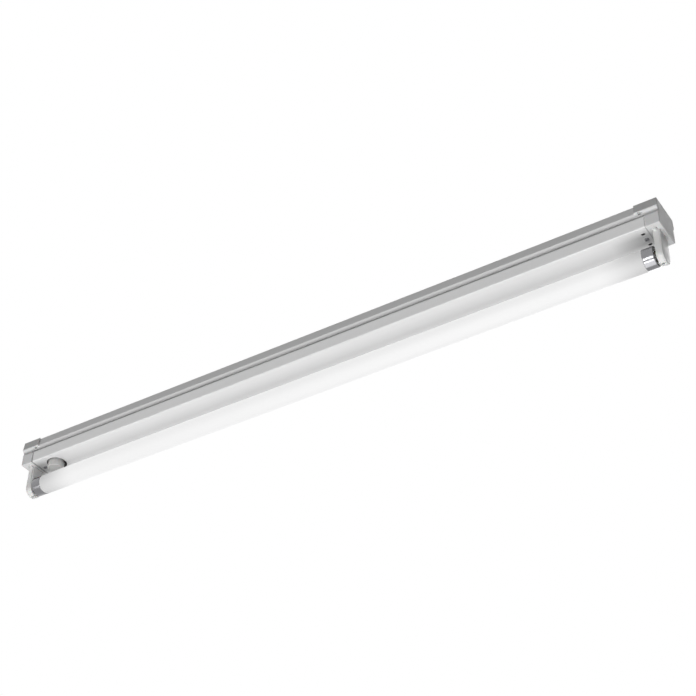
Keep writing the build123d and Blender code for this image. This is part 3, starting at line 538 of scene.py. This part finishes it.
@dataclass(frozen=True)
class BandedMetal(Finish):
    """Stacked sheets or laid turns, seen as fine bands with a groove between them."""

    crest: Colour
    groove: Colour
    pitch: float
    direction: str
    metallic: float
    roughness: Span = (0.38, 0.55)
    mottle: float = 240.0
    detail: float = 3.0
    groove_reach: Span = (0.0, 0.45)
    strength: float = 0.4
    depth_share: float = 0.4

    def dress(self, graph: MaterialGraph) -> None:
        """Lay the bands out.

        Args:
            graph: The material to dress.
        """
        bands = graph.bands(self.pitch, self.direction)
        graph.fix(Metallic=self.metallic)
        share = graph.spread(bands, 0.0, 1.0, self.groove_reach)
        graph.feed("Base Color", graph.blend(share, self.groove, self.crest))
        graph.feed("Roughness", graph.spread(graph.noise(self.mottle, self.detail), *self.roughness))
        graph.emboss(bands, Relief(self.strength, self.pitch * self.depth_share))


@dataclass(frozen=True)
class SoftCover(Finish):
    """Wire insulation or rubber: dull, with a fine skin."""

    skin: Colour
    worn: Colour
    roughness: Span = (0.48, 0.66)
    mottle: float = 260.0
    detail: float = 3.0
    gloss_mottle: float = 500.0
    grain: float = 1800.0
    relief: Relief = Relief(strength=0.06, depth=0.0002)

    def dress(self, graph: MaterialGraph) -> None:
        """Lay the cover out.

        Args:
            graph: The material to dress.
        """
        graph.feed("Base Color", graph.blend(graph.noise(self.mottle, self.detail), self.skin, self.worn))
        graph.feed("Roughness", graph.spread(graph.noise(self.gloss_mottle), *self.roughness))
        graph.emboss(graph.noise(self.grain, GRAIN_DETAIL), self.relief)


# Painted shading on the spine: upper wall slightly darker, ridge full tone, lip darkening towards the groove
# below it
SPINE_LIP_SHADING = FoldShade(
    out_from=-0.0004, tones=((0.0118, 0.89), (0.0128, 1.0), (0.0137, 1.0), (0.0152, 0.69))
)
# Painted shade in the groove where the tray's shoulder meets the spine's lip
TRAY_GROOVE_SHADE = FoldShade(
    out_from=0.0170, tones=((0.0145, 1.0), (0.0155, 0.50), (0.0182, 0.57), (0.0194, 1.0))
)
# Painted shade on the cap's sides: upper face and cove under the ridge darker, lower side and bottom slightly
# darker, ridge full tone
CAP_SIDE_SHADE = FoldShade(
    out_from=0.0201,
    tones=(
        (0.0110, 0.55),
        (0.0124, 1.0),
        (0.0145, 1.0),
        (0.0160, 0.58),
        (0.0185, 0.62),
        (0.0203, 0.92),
        (0.036, 0.92),
    ),
)
# Painted shade on the tray and cap bottoms beside the lampholders and lamp ends
LAMP_END_SHADE = EndShade(
    starts=0.398, full=0.442, half_width=0.006, fades_at=0.0165, depth=0.0330, tone=0.52, stops=0.4530
)
# Painted shadow: a dark band on the tray just inside the end cap's mouth
CAP_SEAM_SHADOW = EndShade(starts=0.4436, full=0.4445, half_width=0.03, fades_at=0.04, depth=0.0188, tone=0.60)
# Painted shade: the end caps' outer end faces darker, as faces turned from the light
CAP_END_FACE_SHADE = EndShade(starts=0.4615, full=0.4620, half_width=0.03, fades_at=0.04, depth=-0.01, tone=0.70)
# Painted shadow: the lamp caps' end faces near black, for the shade in the gap between cap and holder
LAMP_CAP_GAP_SHADOW = EndShade(starts=0.4464, full=0.4470, half_width=0.03, fades_at=0.04, depth=-0.01, tone=0.12)
SPINE_ENAMEL = Enamel("spine_enamel", thin=neutral(0.595), full=neutral(0.625), painted_shades=(SPINE_LIP_SHADING,))
TRAY_ENAMEL = Enamel(
    "tray_enamel", thin=neutral(0.81), full=neutral(0.84), painted_shades=(TRAY_GROOVE_SHADE, LAMP_END_SHADE, CAP_SEAM_SHADOW)
)
CAP_MOULDING = Moulding(
    "cap_moulding", pale=neutral(0.77), deep=neutral(0.75), painted_shades=(CAP_SIDE_SHADE, LAMP_END_SHADE, CAP_END_FACE_SHADE)
)
HOLDER_MOULDING = Moulding(
    "holder_moulding", pale=(0.80, 0.80, 0.79), deep=(0.76, 0.76, 0.75), roughness=(0.28, 0.38)
)
STARTER_MOULDING = Moulding("starter_moulding", pale=(0.60, 0.60, 0.59), deep=(0.56, 0.56, 0.55))
GEAR_MOULDING = Moulding("gear_moulding", pale=(0.82, 0.82, 0.79), deep=(0.78, 0.78, 0.75))
SOCKET_MOULDING = Moulding("socket_moulding", pale=neutral(0.032), deep=neutral(0.024))
LAMP_GLASS = PhosphorGlass(
    "phosphor_glass",
    coating=neutral(0.16),
    end_coating=neutral(0.36),
    glow=neutral(0.71),
    end_glow=neutral(0.30),
    full_glow_to=0.376,
    end=0.436,
    strength=1.0,
)
LAMP_METAL = TurnedMetal(
    "lamp_cap_metal",
    bright=(0.27, 0.27, 0.28),
    dull=(0.24, 0.24, 0.25),
    painted_shades=(LAMP_CAP_GAP_SHADOW,),
    roughness=(0.20, 0.25),
)
PLATED_STEEL = PlatedMetal("plated_steel", bright=(0.64, 0.64, 0.65), dull=(0.48, 0.48, 0.50))
SCREW_STEEL = PlatedMetal(
    "screw_steel", bright=(0.30, 0.30, 0.31), dull=(0.17, 0.17, 0.18), roughness=(0.46, 0.60)
)
# Brass, made darker than brass so that the pins in the gap between lamp cap and holder read as painted shade
PIN_BRASS = PlatedMetal("pin_brass", bright=(0.34, 0.28, 0.19), dull=(0.26, 0.21, 0.14))
CONTACT_BRONZE = PlatedMetal("contact_bronze", bright=(0.60, 0.40, 0.22), dull=(0.48, 0.31, 0.17))
LEAD_WIRE = PlatedMetal("lead_wire", bright=(0.46, 0.46, 0.47), dull=(0.34, 0.34, 0.36))
# Dark board, made near black, darker than the starter's board, so that it adds painted shade to the gap at
# the lamp caps
PIN_BOARD = PressedBoard("pin_board", body=(0.045, 0.034, 0.028), fleck=(0.025, 0.020, 0.018))
BASE_BOARD = PressedBoard("starter_base_board", body=(0.30, 0.17, 0.09), fleck=(0.17, 0.09, 0.05))
STEM_GLASS = ClearGlass("stem_glass", tint=(0.93, 0.95, 0.95))
LAMINATIONS = BandedMetal(
    "laminations", crest=(0.10, 0.10, 0.11), groove=neutral(0.03), pitch=0.0005, direction="Z", metallic=0.6
)
WINDING = BandedMetal(
    "winding", crest=(0.42, 0.17, 0.07), groove=(0.12, 0.05, 0.02), pitch=0.0009, direction="X", metallic=0.8
)
RUBBER = SoftCover("grommet_rubber", skin=neutral(0.025), worn=neutral(0.05), roughness=(0.60, 0.78))
BROWN_WIRE = SoftCover("brown_insulation", skin=(0.14, 0.06, 0.03), worn=(0.18, 0.08, 0.04))
WHITE_WIRE = SoftCover("white_insulation", skin=(0.74, 0.74, 0.72), worn=(0.68, 0.68, 0.66))
BLUE_WIRE = SoftCover("blue_insulation", skin=(0.02, 0.07, 0.30), worn=(0.03, 0.10, 0.36))
EARTH_WIRE = SoftCover("earth_insulation", skin=(0.10, 0.34, 0.06), worn=(0.62, 0.55, 0.05))
PLAIN_NODES: dict[Finish, tuple[str, ...]] = {
    CONTACT_BRONZE: ("holder_contacts_left", "holder_contacts_right", "starter_contacts"),
    PIN_BRASS: ("lamp_pins_left", "lamp_pins_right", "starter_pins", "terminal_clamps"),
    PIN_BOARD: ("lamp_insulator_left", "lamp_insulator_right"),
    STEM_GLASS: ("lamp_stem_left", "lamp_stem_right", "starter_glow_bulb"),
    LEAD_WIRE: ("lamp_cathode_left", "lamp_cathode_right"),
    BASE_BOARD: ("starter_base",),
    GEAR_MOULDING: ("terminal_block", "ballast_terminals"),
    SOCKET_MOULDING: ("starter_socket",),
    LAMINATIONS: ("ballast_core",),
    WINDING: ("ballast_winding",),
    PLATED_STEEL: (
        "ballast_screws",
        "terminal_screws",
        "earth_screw",
        "cover_bracket_left",
        "cover_bracket_right",
    ),
    RUBBER: ("cable_grommet",),
    BROWN_WIRE: ("live_wire",),
    WHITE_WIRE: ("ballast_wire", "starter_wire_right", "starter_wire_left"),
    BLUE_WIRE: ("neutral_wire",),
    EARTH_WIRE: ("earth_wire",),
}


class FinishShelf:
    """The materials made so far, one for each finish."""

    def __init__(self) -> None:
        """Start with no materials."""
        self.made: dict[str, bpy.types.Material] = {}

    def take(self, finish: Finish) -> bpy.types.Material:
        """Return a finish's material, made on first use.

        Args:
            finish: The finish.

        Returns:
            Its material.
        """
        if finish.name not in self.made:
            self.made[finish.name] = finish.build()
        return self.made[finish.name]


def put_in_scene(name: str, mesh: bmesh.types.BMesh, material: bpy.types.Material) -> bpy.types.Object:
    """Make a mesh an object of the scene.

    Args:
        name: The object's name.
        mesh: The finished mesh, already in place, which is freed.
        material: Its material.

    Returns:
        The object.
    """
    data = bpy.data.meshes.new(name)
    mesh.to_mesh(data)
    mesh.free()
    data.materials.append(material)
    made = bpy.data.objects.new(name, data)
    bpy.context.scene.collection.objects.link(made)
    return made


@dataclass(frozen=True)
class Piece:
    """A new piece: its name, the CAD node that it replaces, its body, its material slot and its finish."""

    name: str
    node: str
    body: Body
    slot: Slot
    finish: Finish


@dataclass
class PieceMaker:
    """Turns finished meshes into pieces that ride on a body and replace CAD nodes."""

    shelf: FinishShelf
    nodes: dict[str, bpy.types.Object]

    def place(self, mesh: bmesh.types.BMesh, piece: Piece) -> bpy.types.Object:
        """Make a piece of a mesh that is already in place.

        Args:
            mesh: The finished mesh, which is freed.
            piece: What the piece is.

        Returns:
            The piece's object.
        """
        made = put_in_scene(piece.name, mesh, self.shelf.take(piece.finish))
        made.data.polygons.foreach_set("use_smooth", [True] * len(made.data.polygons))
        made.data.set_sharp_from_angle(angle=EDGE_ANGLE)
        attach(made, piece.body.value)
        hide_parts(piece.node)
        LOG.info("%s: %d faces on %s", piece.name, len(made.data.polygons), piece.body.value)
        return made

    def joined(self, node: str, whole_flats: bool) -> bmesh.types.BMesh:
        """Copy a CAD node's mesh with its triangles joined.

        Args:
            node: The CAD node.
            whole_flats: Whether each flat is made one face.

        Returns:
            The copy.
        """
        mesh = bmesh.new()
        mesh.from_mesh(self.nodes[node].data)
        bmesh.ops.remove_doubles(mesh, verts=mesh.verts, dist=MERGE_DISTANCE)
        if whole_flats:
            bmesh.ops.dissolve_limit(mesh, angle_limit=FLAT_ANGLE, verts=mesh.verts, edges=mesh.edges)
        return mesh

    def folded(self, piece: Piece, whole_flats: bool = False) -> None:
        """Show a CAD node with its folds shaded smooth and its flats kept flat.

        Args:
            piece: The piece that shows it.
            whole_flats: Whether each flat is made one face first.
        """
        made = self.place(self.joined(piece.node, whole_flats), piece)
        weighting = made.modifiers.new("flats_kept_flat", "WEIGHTED_NORMAL")
        weighting.keep_sharp = True

    def rounded(self, piece: Piece, width: float) -> None:
        """Show a CAD node with its sharp edges rounded.

        Args:
            piece: The piece that shows it.
            width: The width of the rounding in metres.
        """
        made = self.place(self.joined(piece.node, whole_flats=True), piece)
        bevel = made.modifiers.new("rounded_edges", "BEVEL")
        bevel.width = width
        bevel.segments = ROUND_STEPS
        bevel.limit_method = "ANGLE"
        bevel.angle_limit = EDGE_ANGLE
        bevel.use_clamp_overlap = False
        bevel.harden_normals = True

    def dress_plain_nodes(self) -> None:
        """Give the CAD nodes that stay as they are their finishes."""
        for finish, names in PLAIN_NODES.items():
            for name in names:
                self.nodes[name].material_slots[0].material = self.shelf.take(finish)
                LOG.info("%s: %s", name, finish.name)


def spun(profile: list[Point], centre: Vector, axis: Vector, out: Vector, steps: int) -> bmesh.types.BMesh:
    """Spin a profile round an axis, closed unless it starts and ends on the axis.

    Args:
        profile: Corners as distances along the axis and out from it.
        centre: A point on the axis that distances along it are taken from.
        axis: The axis's direction.
        out: The direction in which the profile is drawn.
        steps: The faces round the axis.

    Returns:
        The closed mesh.
    """
    mesh = bmesh.new()
    corners = [mesh.verts.new(centre + along * axis + radius * out) for along, radius in profile]
    first = 1 if profile[0][1] == profile[-1][1] == 0.0 else 0
    edges = [mesh.edges.new((corners[i - 1], corners[i])) for i in range(first, len(corners))]
    bmesh.ops.spin(
        mesh, geom=corners + edges, cent=centre, axis=axis, angle=2.0 * math.pi, steps=steps, use_merge=True
    )
    bmesh.ops.remove_doubles(mesh, verts=mesh.verts, dist=MERGE_DISTANCE)
    bmesh.ops.recalc_face_normals(mesh, faces=mesh.faces)
    return mesh


def round_edges(mesh: bmesh.types.BMesh, width: float) -> None:
    """Round a mesh's sharp edges.

    Args:
        mesh: The mesh.
        width: The width of the rounding in metres.
    """
    sharp = [edge for edge in mesh.edges if edge.is_manifold and edge.calc_face_angle() > EDGE_ANGLE]
    bmesh.ops.bevel(
        mesh,
        geom=sharp,
        offset=width,
        offset_type="OFFSET",
        segments=ROUND_STEPS,
        profile=0.5,
        affect="EDGES",
        clamp_overlap=False,
        material=-1,
    )


@dataclass
class Housing:
    """The folded spine, the gear tray that snaps into it, and the tray's two screws."""

    maker: PieceMaker
    screw_steps: int = 48
    shank_share: float = 0.5
    dome_steps: int = 4
    dome_from: float = 0.3
    crown: float = 0.6
    recess_arms: int = 4
    recess_reach: float = 0.0015
    recess_waist: float = 0.42
    recess_depth: float = 0.0011

    def build(self) -> None:
        """Make the sheet-metal pieces and the screws."""
        for name, node, enamel in (
            ("spine_channel", "mounting_spine", SPINE_ENAMEL),
            ("gear_tray", "gear_cover", TRAY_ENAMEL),
        ):
            self.maker.folded(Piece(name, node, Body.HOUSING, Slot.PAINTED_STEEL, enamel))
        self.build_screws()

    def build_screws(self) -> None:
        """Make the two domed heads with cross recesses that hold the tray."""
        low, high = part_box("cover_screws")
        head_radius = (high.y - low.y) / 2.0
        under_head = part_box("gear_cover")[0].z
        screws = bmesh.new()
        for side in SIDES.values():
            seat = Vector((side * (high.x - head_radius), 0.0, under_head))
            screw = self.screw(seat, head_radius, under_head - low.z, high.z - under_head)
            data = bpy.data.meshes.new("screw_blank")
            screw.to_mesh(data)
            screw.free()
            screws.from_mesh(data)
            bpy.data.meshes.remove(data)
        self.maker.place(
            screws, Piece("tray_screws", "cover_screws", Body.HOUSING, Slot.PLATED_STEEL, SCREW_STEEL)
        )

    def screw(self, seat: Vector, radius: float, height: float, shank: float) -> bmesh.types.BMesh:
        """Make one screw.

        Args:
            seat: The middle of the head's underside.
            radius: The head's radius.
            height: The head's height.
            shank: The shank's length.

        Returns:
            The screw's mesh.
        """
        shank_radius = radius * self.shank_share
        profile = [(shank, 0.0), (shank, shank_radius), (0.0, shank_radius), (0.0, radius)]
        for step in range(self.dome_steps + 1):
            turn = math.pi / 2.0 * step / self.dome_steps
            along = -height * (self.dome_from + (1.0 - self.dome_from) * math.sin(turn))
            profile.append((along, radius * (self.crown + (1.0 - self.crown) * math.cos(turn))))
        floor = self.recess_depth - height
        profile += [(-height, self.recess_reach), (floor, self.recess_reach * self.crown), (floor, 0.0)]
        screw = spun(profile, seat, UP, ALONG, self.screw_steps)
        for vert in screw.verts:
            spoke = vert.co - seat
            from_axis = math.hypot(spoke.x, spoke.y)
            if spoke.z < 0.0 and 0.0 < from_axis < self.recess_reach + MERGE_DISTANCE:
                arm = math.cos(self.recess_arms / 2.0 * math.atan2(spoke.y, spoke.x)) ** 2
                pinch = self.recess_waist + (1.0 - self.recess_waist) * arm
                vert.co.x = seat.x + spoke.x * pinch
                vert.co.y = seat.y + spoke.y * pinch
        return screw


@dataclass
class EndFittings:
    """The end caps and the lampholders under them."""

    maker: PieceMaker
    holder_round: float = 0.00045
    back_round: float = 0.0004
    rotor_round: float = 0.0002

    def build(self) -> None:
        """Make the fittings of both ends."""
        for end, rotor_body in (("left", Body.ROTOR_LEFT), ("right", Body.ROTOR_RIGHT)):
            cap = Piece(f"cap_moulding_{end}", f"end_cap_{end}", Body.HOUSING, Slot.CAP_PLASTIC, CAP_MOULDING)
            self.maker.folded(cap, whole_flats=True)
            for name, node, body, width in (
                ("holder_body", "lampholder", Body.HOUSING, self.holder_round),
                ("holder_rear", "holder_back", Body.HOUSING, self.back_round),
                ("rotor", "holder_rotor", rotor_body, self.rotor_round),
            ):
                piece = Piece(f"{name}_{end}", f"{node}_{end}", body, Slot.HOLDER_PLASTIC, HOLDER_MOULDING)
                self.maker.rounded(piece, width)


@dataclass
class Lamp:
    """The glass tube and the drawn caps on its ends."""

    maker: PieceMaker
    steps: int = 96
    shoulder: float = 0.0016
    glass_wall: float = 0.0008
    neck_gap: float = 0.0006
    skirt_step: float = 0.00018
    rim_length: float = 0.0012
    rim_taper: float = 0.0012
    cap_wall: float = 0.0004
    cap_bevel: float = 0.0012
    cap_round: float = 0.0003
    pin_plate_gap: float = 0.00015

    def build(self) -> None:
        """Make the glass and its two caps."""
        self.build_glass()
        for end in SIDES:
            self.build_cap(end)

    def axis_point(self) -> Vector:
        """Return the middle of the lamp's axis."""
        low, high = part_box("lamp_cap_right")
        return Vector((0.0, 0.0, (low.z + high.z) / 2.0))

    def radius(self) -> float:
        """Return the lamp's outer radius."""
        low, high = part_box("lamp_cap_right")
        return (high.z - low.z) / 2.0

    def build_glass(self) -> None:
        """Make the tube, drawn in at each end to go into its cap."""
        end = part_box("lamp_tube")[1].x
        cap_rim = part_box("lamp_cap_right")[0].x
        outer = self.radius()
        neck = outer - self.neck_gap
        right = [(cap_rim - self.shoulder, outer), (cap_rim, neck), (end, neck)]
        right += [(along, radius - self.glass_wall) for along, radius in reversed(right)]
        left = [(-along, radius) for along, radius in reversed(right)]
        glass = spun(right + left, self.axis_point(), ALONG, UP, self.steps)
        self.maker.place(
            glass, Piece("glass_envelope", "lamp_tube", Body.LAMP, Slot.LAMP_GLASS, LAMP_GLASS)
        )

    def build_cap(self, end: str) -> None:
        """Make one cap, with a rolled rim and a bevelled end.

        Args:
            end: The end that it is on.
        """
        low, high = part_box("lamp_cap_right")
        outer = self.radius()
        skirt = outer - self.skirt_step
        pin_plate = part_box("lamp_insulator_right")[1].z - self.axis_point().z + self.pin_plate_gap
        inner = skirt - self.cap_wall
        profile = [
            (low.x, outer),
            (low.x + self.rim_length, outer),
            (low.x + self.rim_length + self.rim_taper, skirt),
            (high.x - self.cap_bevel, skirt),
            (high.x, skirt - self.cap_bevel),
            (high.x, pin_plate),
            (high.x - self.cap_wall, pin_plate),
            (high.x - self.cap_wall, inner),
            (low.x, inner),
        ]
        cap = spun(profile, self.axis_point(), SIDES[end] * ALONG, UP, self.steps)
        round_edges(cap, self.cap_round)
        self.maker.place(
            cap, Piece(f"lamp_ferrule_{end}", f"lamp_cap_{end}", Body.LAMP, Slot.LAMP_METAL, LAMP_METAL)
        )


@dataclass
class Starter:
    """The starter's can, with a sunk end."""

    maker: PieceMaker
    steps: int = 80
    wall: float = 0.0008
    end_wall: float = 0.0016
    chamfer: float = 0.001
    edge_round: float = 0.00025
    sunk: float = 0.0004
    rim: float = 0.0022

    def build(self) -> None:
        """Make the can."""
        low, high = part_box("starter_can")
        radius = (high.x - low.x) / 2.0
        bottom = Vector(((low.x + high.x) / 2.0, 0.0, low.z))
        height = high.z - low.z
        profile = [
            (self.end_wall, 0.0),
            (self.end_wall, radius - self.wall),
            (height, radius - self.wall),
            (height, radius),
            (self.chamfer, radius),
            (0.0, radius - self.chamfer),
            (0.0, radius - self.rim),
            (self.sunk, radius - self.rim - self.sunk),
            (self.sunk, 0.0),
        ]
        can = spun(profile, bottom, UP, ALONG, self.steps)
        round_edges(can, self.edge_round)
        self.maker.place(
            can, Piece("starter_case", "starter_can", Body.STARTER, Slot.STARTER_PLASTIC, STARTER_MOULDING)
        )


def background_rays(tree: bpy.types.NodeTree) -> Socket:
    """Add nodes that tell the rays which see the background from those which light the object.

    Args:
        tree: The node tree.

    Returns:
        1 for a ray from the camera, or off or through a surface, and 0 for the rest.
    """
    path = tree.nodes.new("ShaderNodeLightPath")
    seen = path.outputs["Is Camera Ray"]
    for ray in ("Is Glossy Ray", "Is Transmission Ray"):
        either = tree.nodes.new("ShaderNodeMath")
        either.operation = "MAXIMUM"
        tree.links.new(seen, either.inputs[0])
        tree.links.new(path.outputs[ray], either.inputs[1])
        seen = either.outputs["Value"]
    return seen


@dataclass(frozen=True)
class SoftLight:
    """One soft box: where it hangs, how wide and high it is and how much light it gives."""

    name: str
    position: Triple
    width: float
    height: float
    power: float


@dataclass
class Studio:
    """A pale floor far below the light, a white surround, soft boxes and the camera."""

    floor_drop: float = 2.6
    floor_half: float = 40.0
    floor_colour: Colour = neutral(0.80)
    floor_fleck: Colour = neutral(0.77)
    floor_mottle: float = 0.8
    floor_roughness: float = 0.9
    floor_white: float = 0.85
    seen_strength: float = 1.0
    lit_strength: float = 0.12
    lights: tuple[SoftLight, ...] = (
        SoftLight("high_key_box", (0.11, -2.18, -1.21), width=1.3, height=0.42, power=21.0),
        SoftLight("low_key_box", (0.07, -1.30, -2.29), width=1.3, height=0.42, power=14.0),
        SoftLight("low_box", (0.0, 0.1, -2.2), width=2.0, height=1.9, power=21.0),
        SoftLight("side_box", (-2.3, -1.9, -1.5), width=1.0, height=1.0, power=6.5),
        SoftLight("rear_box", (0.0, 2.0, 1.2), width=2.0, height=2.0, power=26.0),
    )
    lens: float = 79.658
    sensor: float = 36.0
    azimuth: float = math.radians(33.691)
    elevation: float = math.radians(-38.214)
    roll: float = math.radians(1.575)
    distance: float = 1.90838
    slide_right: float = 0.03849
    slide_up: float = -0.00607

    def build(self) -> None:
        """Set the stage up."""
        self.build_floor()
        self.build_surround()
        for light in self.lights:
            self.build_light(light)
        self.build_camera()
        bpy.context.scene.view_settings.view_transform = "Standard"

    def build_floor(self) -> None:
        """Lay the floor, nearly white to the eye, so that it keeps the object's shadow."""
        mesh = bmesh.new()
        bmesh.ops.create_grid(mesh, x_segments=1, y_segments=1, size=self.floor_half)
        bmesh.ops.translate(mesh, verts=mesh.verts, vec=(0.0, 0.0, -self.floor_drop))
        graph = MaterialGraph("pale_floor")
        graph.fix(Roughness=self.floor_roughness)
        mottle = graph.noise(self.floor_mottle)
        graph.feed("Base Color", graph.blend(mottle, self.floor_fleck, self.floor_colour))
        white = graph.node("ShaderNodeEmission", {"Color": WHITE, "Strength": self.seen_strength})
        share = graph.product(background_rays(graph.tree), self.floor_white)
        shaders = {0: share, 1: graph.shader.outputs["BSDF"], 2: white.outputs["Emission"]}
        choice = graph.node("ShaderNodeMixShader", shaders)
        output = graph.tree.nodes["Material Output"]
        graph.tree.links.new(choice.outputs["Shader"], output.inputs["Surface"])
        put_in_scene("floor", mesh, graph.material)

    def build_surround(self) -> None:
        """Make the surround white to the eye and in reflections, and a plain soft light elsewhere."""
        world = bpy.data.worlds.new("surround")
        bpy.context.scene.world = world
        world.use_nodes = True
        tree = world.node_tree
        tree.nodes.clear()
        choice = tree.nodes.new("ShaderNodeMixShader")
        tree.links.new(background_rays(tree), choice.inputs[0])
        for socket, strength in ((1, self.lit_strength), (2, self.seen_strength)):
            background = tree.nodes.new("ShaderNodeBackground")
            background.inputs["Color"].default_value = WHITE
            background.inputs["Strength"].default_value = strength
            tree.links.new(background.outputs["Background"], choice.inputs[socket])
        output = tree.nodes.new("ShaderNodeOutputWorld")
        tree.links.new(choice.outputs["Shader"], output.inputs["Surface"])

    def build_light(self, light: SoftLight) -> None:
        """Hang one soft box, facing the object.

        Args:
            light: The soft box.
        """
        data = bpy.data.lights.new(light.name, "AREA")
        data.shape = "RECTANGLE"
        data.size = light.width
        data.size_y = light.height
        data.energy = light.power
        lamp = bpy.data.objects.new(light.name, data)
        lamp.location = light.position
        lamp.rotation_mode = "QUATERNION"
        lamp.rotation_quaternion = (-Vector(light.position)).to_track_quat("-Z", "Y")
        lamp.visible_camera = False
        bpy.context.scene.collection.objects.link(lamp)

    def build_camera(self) -> None:
        """Set the camera at the photograph's viewing angle, below the light and to its right."""
        flat = math.cos(self.elevation)
        towards = (math.sin(self.azimuth) * flat, -math.cos(self.azimuth) * flat, math.sin(self.elevation))
        back = Vector(towards)
        level = UP.cross(back).normalized()
        upright = back.cross(level)
        right = math.cos(self.roll) * level + math.sin(self.roll) * upright
        up = math.cos(self.roll) * upright - math.sin(self.roll) * level
        data = bpy.data.cameras.new("camera")
        data.lens = self.lens
        data.sensor_width = self.sensor
        camera = bpy.data.objects.new("camera", data)
        turn = Matrix((right, up, back)).transposed()
        place = self.slide_right * right + self.slide_up * up + self.distance * back
        camera.matrix_world = Matrix.Translation(place) @ turn.to_4x4()
        bpy.context.scene.collection.objects.link(camera)
        bpy.context.scene.camera = camera


def main() -> None:
    """Load the frame, and build each sub-assembly and the studio round it."""
    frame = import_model()
    logging.basicConfig(level=logging.INFO)
    for name in START_OBJECTS:
        if name in bpy.data.objects:
            bpy.data.objects.remove(bpy.data.objects[name])
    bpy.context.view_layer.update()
    maker = PieceMaker(FinishShelf(), frame["nodes"])
    maker.dress_plain_nodes()
    for assembly in (Housing(maker), EndFittings(maker), Lamp(maker), Starter(maker)):
        assembly.build()
    Studio().build()


if __name__ == "__main__":
    main()
